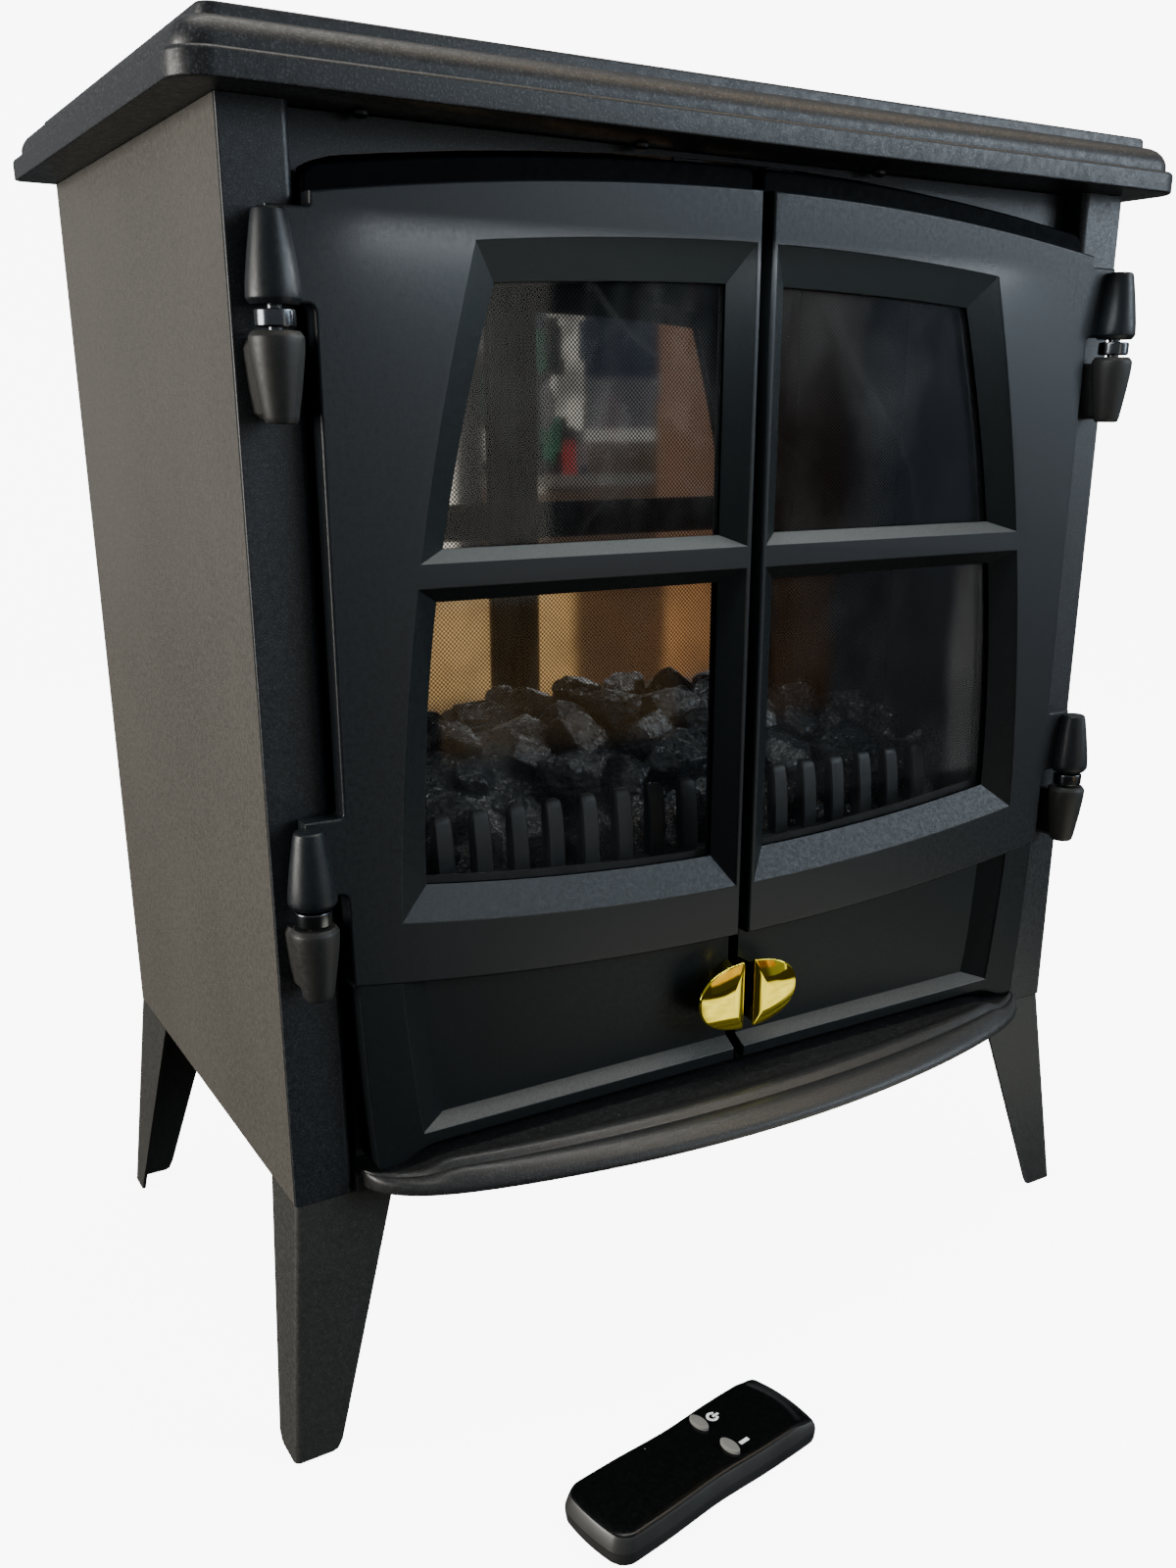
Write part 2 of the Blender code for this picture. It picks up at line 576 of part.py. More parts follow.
# ----------------------------------------------------------------- fan heater
FAN_Y, FAN_Z, FAN_R = -0.0480, 0.1680, 0.0200
outer, inner = [], []
for k in range(0, 9):
    a = math.radians(-60 + 30 * k)
    outer.append((FAN_Y + 0.0262 * math.cos(a), FAN_Z + 0.0262 * math.sin(a)))
    inner.append((FAN_Y + 0.0250 * math.cos(a), FAN_Z + 0.0250 * math.sin(a)))
shell = outer + [(-0.0860, 0.1300), (-0.0848, 0.1300)] + list(reversed(inner))
hous = plate("fan_housing", shell, -0.1040, 0.1040, "YZ")
finish(hous, "fan_housing", STEEL, 40)

gear = []
for k in range(14):
    a = math.tau * k / 14
    for da, rr in ((-0.035, 0.0130), (-0.020, FAN_R), (0.020, FAN_R), (0.035, 0.0130)):
        gear.append((FAN_Y + rr * math.cos(a + da * (3 if rr < 0.015 else 1)), FAN_Z + rr * math.sin(a + da * (3 if rr < 0.015 else 1))))
core = [(FAN_Y + 0.0116 * math.cos(math.tau * k / 14), FAN_Z + 0.0116 * math.sin(math.tau * k / 14)) for k in range(14)]
imp = plate("fan_impeller", [gear, core], -0.0980, 0.0980, "YZ")
join(imp, cylinders("impeller_disc", [((0.0965, FAN_Y, FAN_Z), (0.0980, FAN_Y, FAN_Z), 0.0180, 0.0180)], 14))
join(imp, box("impeller_spoke", (-0.0980, FAN_Y - 0.0020, FAN_Z - 0.0150), (-0.0965, FAN_Y + 0.0020, FAN_Z + 0.0150)))
sh = cylinders("impeller_shaft", [((-0.1100, FAN_Y, FAN_Z), (0.1118, FAN_Y, FAN_Z), 0.0025, 0.0025)], 10)
join(imp, sh)
finish(imp, "fan_impeller", STEEL)

ob = cylinders("fan_motor", [((0.1125, FAN_Y, FAN_Z), (0.1480, FAN_Y, FAN_Z), 0.0260, 0.0260)], 20)
finish(ob, "fan_motor", STEEL, 40)

zig = []
for k in range(14):
    x = -0.0850 + 0.0131 * k
    zig.append((x, -0.1030 + (0.0090 if k % 2 else -0.0090), 0.1450))
ob = tube("heating_element", zig, 0.0012, 1)
finish(ob, "heating_element", COPPER)
frame_loops = [[(-0.1000, -0.1175), (0.1000, -0.1175), (0.1000, -0.0890), (-0.1000, -0.0890)],
               [(-0.0960, -0.1150), (0.0960, -0.1150), (0.0960, -0.0910), (-0.0960, -0.0910)]]
ob = plate("element_frame", frame_loops, 0.1360, 0.1430, "XY")
finish(ob, "element_frame", MICA)

# outlet grille under the body: frame with slats
gr_loops = [[(-0.1120, -0.1240), (0.1120, -0.1240), (0.1120, -0.0820), (-0.1120, -0.0820)]]
for k in range(12):
    xc = -0.0935 + 0.0170 * k
    gr_loops.append([(xc - 0.0068, -0.1160), (xc + 0.0068, -0.1160), (xc + 0.0068, -0.0900), (xc - 0.0068, -0.0900)])
ob = plate("outlet_grille", gr_loops, 0.1215, 0.1252, "XY")
finish(ob, "outlet_grille", PLASTIC)

# --------------------------------------------------------------- control panel
PANEL_Y = -0.1220
holes = [[(-0.2020, 0.1292), (0.2020, 0.1292), (0.2020, 0.2355), (-0.2020, 0.2355)]]
ROCK_X = (0.0550, 0.0850, 0.1150)
ROCK_Z = 0.1900
holes.append([(ROCK_X[0] - 0.0149, ROCK_Z - 0.0096), (ROCK_X[2] + 0.0149, ROCK_Z - 0.0096), (ROCK_X[2] + 0.0149, ROCK_Z + 0.0096), (ROCK_X[0] - 0.0149, ROCK_Z + 0.0096)])
THX, THZ = -0.0700, 0.1900
holes.append([(THX + 0.0042 * math.cos(math.tau * k / 14), THZ + 0.0042 * math.sin(math.tau * k / 14)) for k in range(14)])
IRX, IRZ = -0.1200, 0.1900
holes.append([(IRX + 0.0050 * math.cos(math.tau * k / 14), IRZ + 0.0050 * math.sin(math.tau * k / 14)) for k in range(14)])
ob = plate("control_panel", holes, PANEL_Y, PANEL_Y + 0.0016, "XZ")
finish(ob, "control_panel", BLACK)

hs = box("switch_bank", (ROCK_X[0] - 0.0145, PANEL_Y - 0.0022, ROCK_Z - 0.0092), (ROCK_X[2] + 0.0145, PANEL_Y + 0.0190, ROCK_Z + 0.0092))
for k, xr in enumerate(ROCK_X):
    cut(hs, box("switch_cell_%d" % k, (xr - 0.0086, PANEL_Y - 0.0040, ROCK_Z - 0.0056), (xr + 0.0086, PANEL_Y + 0.0080, ROCK_Z + 0.0056)))
finish(hs, "switch_bank", PLASTIC)

# rockers, each stored with its lower half pressed in (off)
TILT = math.radians(7)
for i, (nm, xr) in enumerate(zip(("rocker_flame", "rocker_low_heat", "rocker_high_heat"), ROCK_X)):
    prof = [(-0.0050, 0.0), (-0.0050, -0.0052), (0.0, -0.0040), (0.0050, -0.0052), (0.0050, 0.0), (0.0, 0.0030)]
    pivot = Vector((xr, PANEL_Y + 0.0015, ROCK_Z))
    pts = []
    for v, u in prof:
        pts.append((pivot.y + u * math.cos(TILT) - v * math.sin(TILT) * 1.0, pivot.z + v * math.cos(TILT) + u * math.sin(TILT)))
    rk = plate(nm, pts, xr - 0.0082, xr + 0.0082, "YZ")
    rk.data.transform(Matrix.Translation(-pivot))
    rk.location = pivot
    finish(rk, nm, PLASTIC)

th = turned("thermostat_body", [(0.0, -0.0006), (0.0030, -0.0006), (0.0030, -0.0070), (0.0125, -0.0072), (0.0125, -0.0240), (0.0, -0.0240)], (THX, PANEL_Y - 0.0050, THZ), "Y", 18)
finish(th, "thermostat_body", STEEL, 40)
kn = turned("thermostat_knob", [(0.0, 0.0060), (0.0095, 0.0060), (0.0105, 0.0052), (0.0112, -0.0044), (0.0034, -0.0044), (0.0034, -0.0002), (0.0, -0.0002)], (0, 0, 0), "Y", 20)
grip = box("grip_bar", (-0.0016, -0.0082, -0.0096), (0.0016, -0.0040, 0.0096))
grip.location = (THX, PANEL_Y - 0.0050, THZ)
kn.location = (THX, PANEL_Y - 0.0050, THZ)
join(kn, grip)
finish(kn, "thermostat_knob", PLASTIC, 40)

pcb = box("control_board", (-0.1950, -0.1000, 0.1320), (-0.1250, -0.0985, 0.1930))
for k, (x0, z0, dx, dz, dy) in enumerate(((-0.1900, 0.1400, 0.020, 0.016, 0.016), (-0.1620, 0.1400, 0.014, 0.012, 0.010), (-0.1880, 0.1650, 0.028, 0.014, 0.014))):
    join(pcb, box("component_%d" % k, (x0, -0.0990, z0), (x0 + dx, -0.0990 + dy, z0 + dz)))
join(pcb, box("receiver_post", (IRX - 0.0070, -0.1000, IRZ - 0.0110), (IRX + 0.0030, -0.0988, IRZ + 0.0035)))
join(pcb, cylinders("receiver_eye", [((IRX, -0.0995, IRZ), (IRX, -0.1232, IRZ), 0.0040, 0.0036)], 14))
finish(pcb, "control_board", BOARD)

# -------------------------------------------------------------------- hinges
# profile of the wide-ended knuckle, narrow end up
KNUCKLE = [(0.0, 0.0325), (0.0056, 0.0325), (0.0064, 0.0318), (0.0077, 0.0240), (0.0091, 0.0150), (0.0100, 0.0070), (0.0102, 0.0022), (0.0086, 0.0), (0.0, 0.0)]
UP_Z0 = 0.5035                # bottom of the door's upper knuckle
POST_KN_TOP = 0.4947          # top of the post's knuckle


def knuckle_up(name, x, z0):
    return turned(name, KNUCKLE, (x, HINGE_Y, z0), "Z", 16)


def knuckle_down(name, x, ztop):
    prof = [(r, -z) for r, z in reversed(KNUCKLE)]
    return turned(name, prof, (x, HINGE_Y, ztop), "Z", 16)


for sx, side in ((-1, "left"), (1, "right")):
    pts = post_points() if sx > 0 else mirror_x(post_points())
    post = plate("front_post_" + side, pts, BODY_Z0, BODY_Z1, "XY")
    for drop, lev in ((0.0, "top"), (HINGE_DROP, "bottom")):
        nm = "socket_%s_%s" % (side, lev)
        zt = POST_KN_TOP - drop
        join(post, box(nm + "_stub", (sx * HINGE_X - 0.0055, HINGE_Y + 0.0040, zt - 0.0270), (sx * HINGE_X + 0.0055, POST_Y + 0.0012, zt - 0.0040)))
        join(post, knuckle_down(nm, sx * HINGE_X, zt))
        cut(post, cylinders(nm + "_bore", [((sx * HINGE_X, HINGE_Y, zt - 0.0130), (sx * HINGE_X, HINGE_Y, zt + 0.0050), 0.0033, 0.0033)], 12))
    finish(post, "front_post_" + side, BLACK, 40)

pin_prof = [(0.0, 0.0180), (0.0026, 0.0180), (0.0030, 0.0172), (0.0030, 0.0075), (0.0074, 0.0073), (0.0077, 0.0069), (0.0077, 0.0014), (0.0074, 0.0010), (0.0030, 0.0008),
            (0.0030, -0.0110), (0.0, -0.0110)]
for sx, side in ((-1, "left"), (1, "right")):
    for drop, lev in ((0.0, "top"), (HINGE_DROP, "bottom")):
        p_ = turned("hinge_pin_%s_%s" % (side, lev), pin_prof, (sx * HINGE_X, HINGE_Y, POST_KN_TOP - drop + 0.0001), "Z", 16)
        finish(p_, "hinge_pin_%s_%s" % (side, lev), DARK_CHROME, 40)

# --------------------------------------------------------------------- doors
def arch(x, rise=0.0):
    return ARCH_TOP + rise - ARCH_K * x * x


def step(x):
    return STEP_Z + STEP_K * x * x


def rim_outline():
    """Back pan of the right-hand door, counter-clockwise from the inner bottom."""
    p = [(DOOR_GAP, DOOR_Z0)]
    p += [(0.172, DOOR_Z0)]
    p += [(0.183, 0.1415), (0.190, 0.1384), (0.2010, 0.1378)]
    p += [(0.2042, 0.1800), (0.2060, 0.2260), (DOOR_OUT - 0.0002, step(DOOR_OUT) + 0.0006)]
    zc = arch(DOOR_OUT, RIM_RISE)
    p += [(DOOR_OUT - 0.0002, zc - 0.0110), (DOOR_OUT - 0.0018, zc - 0.0052), (DOOR_OUT - 0.0050, zc - 0.0008), (DOOR_OUT - 0.0100, arch(DOOR_OUT - 0.0100, RIM_RISE))]
    p += [(x, arch(x, RIM_RISE)) for x in lin(0.180, 0.010, 9)]
    p += [(0.0040, arch(0.004, RIM_RISE) - 0.0008), (DOOR_GAP, arch(DOOR_GAP, RIM_RISE) - 0.0028)]
    return p


def raised_outline():
    p = [(x, step(x)) for x in lin(DOOR_GAP + 0.0002, DOOR_OUT, 12)]
    p += [(x, arch(x)) for x in lin(DOOR_OUT, DOOR_GAP + 0.0002, 12)]
    return p


# window: outer (front) and inner (pan) contours
def side_curve(z, pts):
    (z0, x0), (z1, x1), (z2, x2) = pts
    l0 = (z - z1) * (z - z2) / ((z0 - z1) * (z0 - z2))
    l1 = (z - z0) * (z - z2) / ((z1 - z0) * (z1 - z2))
    l2 = (z - z0) * (z - z1) / ((z2 - z0) * (z2 - z1))
    return x0 * l0 + x1 * l1 + x2 * l2


W_OUT = ((0.5302, 0.1416), (0.4026, 0.1705), (0.2553, 0.1844))
W_IN = ((0.5160, 0.1300), (0.4018, 0.1580), (0.2680, 0.1690))


def window_loop(inner, n=9):
    if inner:
        xi, top, kt, bot, kb, side = 0.0160, 0.5207, 0.278, 0.2562, 0.413, W_IN
    else:
        xi, top, kt, bot, kb, side = 0.0056, 0.5370, 0.342, 0.2412, 0.415, W_OUT
    xt, xb = side[0][1], side[2][1]
    p = [(x, bot + kb * x * x) for x in lin(xi, xb, n)]
    zb = bot + kb * xb * xb
    zt = top - kt * xt * xt
    p += [(side_curve(z, ((zt, side[0][1]), side[1], (zb, side[2][1]))), z) for z in lin(zb, zt, n)[1:-1]]
    p += [(x, top - kt * x * x) for x in lin(xt, xi, n)]
    return p


CB = (0.3908, 0.3975, 0.4077, 0.4124)      # crossbar: lower bevel, face, upper bevel


def inset(p, d):
    """Outline moved inwards by a distance, corner by corner."""
    out = []
    n = len(p)
    for i in range(n):
        a, b, c = Vector(p[i - 1]), Vector(p[i]), Vector(p[(i + 1) % n])
        e0, e1 = (b - a).normalized(), (c - b).normalized()
        n0, n1 = Vector((-e0.y, e0.x)), Vector((-e1.y, e1.x))
        m = n0 + n1
        m = m / max(0.35, m.dot(n0))
        out.append(tuple(b + m * d))
    return out


def ring_at(loop, y):
    return [(u, y, v) for u, v in loop]


def make_door(sx, side):
    nm = "door_frame_" + side
    ax = Vector((sx * HINGE_X, HINGE_Y, 0.0))
    # back pan with its return flange: a block hollowed from behind
    pan = plate(nm, rim_outline(), PAN_FRONT, SKIRT_BACK, "XZ")
    cut(pan, plate("hollow_" + side, inset(rim_outline(), 0.0018), PAN_BACK, SKIRT_BACK + 0.0020, "XZ"))
    face = plate("raised_" + side, raised_outline(), DOOR_FRONT, PAN_FRONT + 0.0006, "XZ")
    low = [(DOOR_GAP + 0.0004, DOOR_Z0 + 0.0002), (0.1721, DOOR_Z0 + 0.0002), (0.1831, 0.1417), (0.190, 0.1387), (0.2007, 0.1381), (0.2038, 0.1800), (0.2055, 0.2180)]
    low += [(x, step(x) + 0.0012) for x in lin(0.2050, DOOR_GAP + 0.0004, 9)]
    lower = plate("lower_" + side, low, DOOR_FRONT + 0.0006, PAN_FRONT + 0.0006, "XZ")
    # recess of the lower panel, its walls sloping in to the pan
    f = [(-0.02, 0.1514), (0.1778, 0.1514), (0.1815, 0.1800), (0.1845, 0.2150), (0.1845, 0.2450), (-0.02, 0.2450)]
    b = [(-0.02, 0.1557), (0.1650, 0.1557), (0.1690, 0.1820), (0.1710, 0.2150), (0.1710, 0.2450), (-0.02, 0.2450)]
    k = 0.0014 / 0.0085
    f2 = [(u + (u - v) * k, w + (w - q) * k) for (u, w), (v, q) in zip(f, b)]
    rec = loft("recess_" + side, [ring_at(f2, DOOR_FRONT + 0.0006 - 0.0014), ring_at(b, PAN_FRONT), ring_at(b, PAN_FRONT + 0.0014)])
    cut(lower, rec)
    join(pan, lower)
    join(pan, face)
    # window opening, bevelled, with its crossbar
    wo, wi = window_loop(False), window_loop(True)
    k = 0.0010 / (PAN_FRONT + 0.0005 - DOOR_FRONT)
    wo2 = [(u + (u - v) * k, w + (w - q) * k) for (u, w), (v, q) in zip(wo, wi)]
    win = loft("window_" + side, [ring_at(wo2, DOOR_FRONT - 0.0010), ring_at(wi, PAN_FRONT + 0.0005), ring_at(wi, PAN_BACK + 0.0010)])
    cut(pan, win)
    bar = [(DOOR_FRONT + 0.0001, CB[1]), (DOOR_FRONT + 0.0001, CB[2]), (PAN_FRONT + 0.0005, CB[3]), (PAN_BACK - 0.0001, CB[3]), (PAN_BACK - 0.0001, CB[0]), (PAN_FRONT + 0.0005, CB[0])]
    bar = plate("crossbar_" + side, bar, 0.0045, 0.1745, "YZ")
    grow = [(u + (0.0007 if u > 0.05 else -0.0007), v) for u, v in wi]
    grow2 = [(u + (0.0007 if u > 0.05 else -0.0007), v) for u, v in wo2]
    trim = loft("bar_trim_" + side, [ring_at(grow2, DOOR_FRONT - 0.0010), ring_at(grow, PAN_FRONT + 0.0005), ring_at(grow, PAN_BACK + 0.0010)])
    md = bar.modifiers.new("trim", "BOOLEAN")
    md.object = as_cutter(trim)
    md.operation = "INTERSECT"
    md.solver = "EXACT"
    join(pan, bar)
    # hinge ears and knuckles
    for drop in (0.0, HINGE_DROP):
        t = "top" if drop == 0 else "bottom"
        z0 = UP_Z0 - drop
        ear = box("ear_%s_%s" % (t, side), (DOOR_OUT - 0.0030, DOOR_FRONT + 0.00005, z0 + 0.0012), (HINGE_X, PAN_FRONT - 0.0002, z0 + 0.0338))
        join(pan, ear)
        kn_ = knuckle_up("knuckle_%s_%s" % (t, side), HINGE_X, z0)
        join(pan, kn_)
        bo = cylinders("knuckle_bore_%s_%s" % (t, side), [((HINGE_X, HINGE_Y, z0 - 0.004), (HINGE_X, HINGE_Y, z0 + 0.0125), 0.0033, 0.0033)], 12)
        cut(pan, bo)
    pan = mesh_of(pan)
    for c in list(CUTTERS.objects):
        if c.name.split(".")[0].endswith("_" + side) and c.name.split("_")[0] in ("raised", "lower", "recess", "window", "crossbar", "bar", "hollow", "ear", "knuckle"):
            bpy.data.objects.remove(c, do_unlink=True)
    if sx < 0:
        pan.data.transform(Matrix.Scale(-1, 4, (1, 0, 0)))
        pan.data.flip_normals()
    pan.data.transform(Matrix.Translation(-ax))
    pan.location = ax
    finish(pan, nm, SATIN, 30)

    def place(ob, name, material, smooth=None):
        if sx < 0:
            ob.data.transform(Matrix.Scale(-1, 4, (1, 0, 0)))
            ob.data.flip_normals()
        ob.data.transform(Matrix.Translation(-ax))
        ob.location = ax
        finish(ob, name, material, smooth)
        return ob

    # one pane behind both lights of the window
    gl = [(0.0085, 0.2490), (0.0600, 0.2505), (0.1200, 0.2560), (0.1770, 0.2625), (0.1700, 0.3900), (0.1560, 0.4600), (0.1385, 0.5225), (0.0700, 0.5280), (0.0085, 0.5295)]
    pane = plate("pane", gl, PAN_BACK + 0.0003, PAN_BACK + 0.0003 + GLASS_T, "XZ")
    place(pane, "door_glass_" + side, GLASS)
    # sheet frame that holds the pane from behind, with the plate that the catch pulls on
    y0, y1 = PAN_BACK + 0.0003 + GLASS_T + 0.0003, PAN_BACK + 0.0003 + GLASS_T + 0.0013
    ro = [(0.0060, 0.2470), (0.0600, 0.2480), (0.1200, 0.2530), (0.1810, 0.2595), (0.1735, 0.3910), (0.1595, 0.4615), (0.1410, 0.5255), (0.0700, 0.5310),
          (0.0380, 0.5320), (0.0370, 0.5520), (0.0130, 0.5520), (0.0120, 0.5330), (0.0060, 0.5330)]
    ri = [(0.0150, 0.2580), (0.0600, 0.2595), (0.1200, 0.2645), (0.1675, 0.2700), (0.1605, 0.3890), (0.1480, 0.4550), (0.1310, 0.5145), (0.0700, 0.5195),
          (0.0150, 0.5210)]
    rt = plate("retainer", [ro, ri], y0, y1, "XZ")
    place(rt, "glass_retainer_" + side, STEEL)
    # brass half-oval handle with its stem
    half = [(0.0031, 0.1840 - 0.0167)]
    half += [(0.0306 * math.sin(math.radians(a)), 0.1840 - 0.0167 * math.cos(math.radians(a))) for a in lin(14, 166, 13)]
    half += [(0.0031, 0.1840 + 0.0167)]
    hb = plate("handle", half, -0.1580, -0.1545, "XZ")
    stem = box("stem_" + side, (0.0033, -0.1550, 0.1715), (0.0082, PAN_FRONT - 0.0003, 0.1985))
    join(hb, stem)
    hb = mesh_of(hb)
    bpy.data.objects.remove(bpy.data.objects["stem_" + side], do_unlink=True)
    place(hb, "door_handle_" + side, BRASS, 40)


make_door(-1, "left")
make_door(1, "right")

# magnetic catches hanging from the top rail
ob = boxes("door_catch", [((-0.0370, -0.1334, 0.5400), (-0.0130, -0.1215, 0.5540)), ((0.0130, -0.1334, 0.5400), (0.0370, -0.1215, 0.5540))])
bridge = box("catch_bridge", (-0.0380, -0.1230, 0.5450), (0.0380, -0.1214, 0.5530))
join(ob, bridge)
br = boxes("catch_tabs", [((-0.0330, RAIL_Y + 0.0020, 0.5480), (-0.0170, -0.1214, 0.5718)), ((0.0170, RAIL_Y + 0.0020, 0.5480), (0.0330, -0.1214, 0.5718))])
join(ob, br)
finish(ob, "door_catch", PLASTIC)

# ------------------------------------------------------------------- fasteners
for nm, x in (("plate_screw_left", -0.1800), ("plate_screw_middle", -0.0550), ("plate_screw_right", 0.0766)):
    ob = turned(nm, [(0.0, 0.0030), (0.0016, 0.0030), (0.0016, 0.0), (0.0034, -0.0001), (0.0032, -0.0014), (0.0020, -0.0023), (0.0, -0.0025)],
                (x, -0.1310, 0.5740), "Z", 12)
    finish(ob, nm, STEEL, 40)

# -------------------------------------------------------------- remote control
remote = bpy.data.objects.new("remote_datum", None)
PARTS.objects.link(remote)
remote.parent = stove
remote.location = (REMOTE_AT[0], REMOTE_AT[1], 0.0)
remote.rotation_euler = (0, 0, REMOTE_TURN)
RL, RW, RH, RSPLIT = 0.0640, 0.0221, 0.0160, 0.0080


def remote_half(u):
    """Half width along the length: full at the ends, waisted a little."""
    w = RW - 0.0012 * math.exp(-((u + 0.002) / 0.024) ** 2)
    return w


def remote_outline(inset=0.0, n=8):
    L = RL - inset
    r = 0.0085 - inset * 0.6
    top_edge = []
    for u in lin(L - r, -L + r, 9):
        top_edge.append((u, remote_half(u) - inset))
    p = []
    we = remote_half(L) - inset
    for k in range(4):
        a = math.radians(0 + 30 * k)
        p.append((L - r + r * math.cos(a), we - r + r * math.sin(a)))
    p += top_edge[1:-1]
    for k in range(4):
        a = math.radians(90 + 30 * k)
        p.append((-L + r + r * math.cos(a), we - r + r * math.sin(a)))
    q = [(u, -v) for u, v in reversed(p)]
    return p + q


def rem(ob, name, material, smooth=None):
    ob.parent = remote
    return finish(ob, name, material, smooth)


base = loft("remote_base", [[(u, v, z) for u, v in remote_outline(i)] for i, z in ((0.0030, 0.0), (0.0010, 0.0014), (0.0, 0.0045), (0.0, RSPLIT))])
cut(base, plate("pocket", remote_outline(0.0030), 0.0034, RSPLIT + 0.002, "XY"))
cut(base, box("cover_seat", (-0.070, -0.0166, -0.002), (-0.0080, 0.0166, 0.0019)))
rem(base, "remote_base", PLASTIC, 35)

lid = loft("remote_lid", [[(u, v, z) for u, v in remote_outline(i)] for i, z in ((0.0, RSPLIT + 0.0003), (0.0, 0.0125), (0.0008, 0.0144), (0.0020, RH - 0.0004), (0.0038, RH))])
cut(lid, plate("lid_pocket", remote_outline(0.0030), RSPLIT - 0.002, 0.0135, "XY"))
BUTTONS = ((0.0140, 0.0110), (0.0140, -0.0094))


def oval(cx, cy, a, b, n=16):
    return [(cx + a * math.cos(math.tau * k / n), cy + b * math.sin(math.tau * k / n)) for k in range(n)]


for i, (bx, by) in enumerate(BUTTONS):
    cut(lid, plate("button_hole_%d" % i, oval(bx, by, 0.0034, 0.0064), 0.0120, 0.0200, "XY"))
rem(lid, "remote_lid", PLASTIC, 35)
for (nm, (bx, by)) in zip(("remote_button_power", "remote_button_heat"), BUTTONS):
    cap = loft(nm, [[(u - bx, v - by, z) for u, v in oval(bx, by, a, b)] for a, b, z in ((0.0029, 0.0059, 0.0108), (0.0029, 0.0059, 0.0174), (0.0020, 0.0047, 0.0180))])
    cap.location = (bx, by, 0)
    rem(cap, nm, GREY_BUTTON, 40)
pc = plate("board", remote_outline(0.0040), 0.0086, 0.0098, "XY")
cut(pc, box("board_notch", (-0.0700, -0.0300, 0.0), (-0.0060, 0.0300, 0.02)))
rem(pc, "remote_board", BOARD)
cell = cylinders("cell", [((-0.0330, 0.0, 0.0040), (-0.0330, 0.0, 0.0066), 0.0100, 0.0100)], 24)
rem(cell, "remote_coin_cell", CELL, 40)
cov = plate("cover", [(-0.0575, -0.0163), (-0.0083, -0.0163), (-0.0083, 0.0163), (-0.0575, 0.0163)], 0.0001, 0.0016, "XY")
rem(cov, "remote_battery_cover", PLASTIC)
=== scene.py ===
"""Looks of the free-standing electric stove heater: casting, powder coat, glass,
brass, coals, hearth shelf and the small remote control on the floor.

Sizes are metres in the stove's own frame (body centred on x = y = 0, floor at
z = 0, front towards -Y); DY moves them back to the shared frame.
"""
import bpy
import bmesh
import json
import math
import random
from mathutils import Matrix, Vector, noise as mnoise
from mathutils.geometry import tessellate_polygon

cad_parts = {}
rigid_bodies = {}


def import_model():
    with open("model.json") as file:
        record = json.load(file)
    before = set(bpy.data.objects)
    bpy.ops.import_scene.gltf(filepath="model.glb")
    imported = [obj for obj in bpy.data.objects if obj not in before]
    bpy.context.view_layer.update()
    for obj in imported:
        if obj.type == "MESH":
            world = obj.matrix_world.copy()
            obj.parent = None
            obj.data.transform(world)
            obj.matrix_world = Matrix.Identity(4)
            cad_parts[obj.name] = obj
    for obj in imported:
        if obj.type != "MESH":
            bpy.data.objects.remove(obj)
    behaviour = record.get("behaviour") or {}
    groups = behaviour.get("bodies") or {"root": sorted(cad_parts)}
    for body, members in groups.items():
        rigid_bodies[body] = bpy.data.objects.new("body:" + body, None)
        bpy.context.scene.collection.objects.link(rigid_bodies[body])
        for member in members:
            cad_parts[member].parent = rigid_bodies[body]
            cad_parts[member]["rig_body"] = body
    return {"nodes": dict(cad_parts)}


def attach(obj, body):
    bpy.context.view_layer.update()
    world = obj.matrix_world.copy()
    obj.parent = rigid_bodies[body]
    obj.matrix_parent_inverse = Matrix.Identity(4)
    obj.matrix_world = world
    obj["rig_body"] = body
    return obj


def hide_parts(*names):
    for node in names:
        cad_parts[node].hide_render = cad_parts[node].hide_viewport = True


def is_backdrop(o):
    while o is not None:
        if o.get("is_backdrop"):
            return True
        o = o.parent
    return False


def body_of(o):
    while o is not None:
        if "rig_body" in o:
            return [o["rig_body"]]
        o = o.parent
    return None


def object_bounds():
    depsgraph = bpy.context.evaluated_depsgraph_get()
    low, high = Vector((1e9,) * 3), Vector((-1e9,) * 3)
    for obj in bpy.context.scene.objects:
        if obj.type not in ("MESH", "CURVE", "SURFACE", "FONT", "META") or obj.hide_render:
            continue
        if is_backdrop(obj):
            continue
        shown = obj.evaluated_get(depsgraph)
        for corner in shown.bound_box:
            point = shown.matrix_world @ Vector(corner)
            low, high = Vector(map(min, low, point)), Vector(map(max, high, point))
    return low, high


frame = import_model()
START_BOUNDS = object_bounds()
DY = 0.0679
random.seed(11)

# ------------------------------------------------------------------ dimensions
BODY_W, BODY_D, BODY_Z0, BODY_Z1, TOP_Z = 0.2373, 0.1377, 0.1254, 0.5740, 0.6005
POST_IN, POST_Y = 0.2098, -0.1380
PLATE_HALF_W, PLATE_FRONT, PLATE_BACK = 0.2570, -0.1600, 0.1385
DOOR_OUT, DOOR_GAP, DOOR_FRONT = 0.2086, 0.0024, -0.1491
PAN_FRONT, PAN_BACK, SKIRT_BACK = -0.1405, -0.1385, -0.1285
ARCH_TOP, ARCH_K, RIM_RISE = 0.5586, 0.355, 0.0098
STEP_Z, STEP_K, DOOR_Z0 = 0.2143, 0.366, 0.1445
HINGE_X, HINGE_Y, HINGE_DROP = 0.2253, -0.1527, 0.2317
UP_Z0, POST_KN_TOP = 0.5035, 0.4947
SHELF_Y = -0.1975
REMOTE_AT, REMOTE_TURN = (-0.0975, -0.2541), math.radians(9.3)


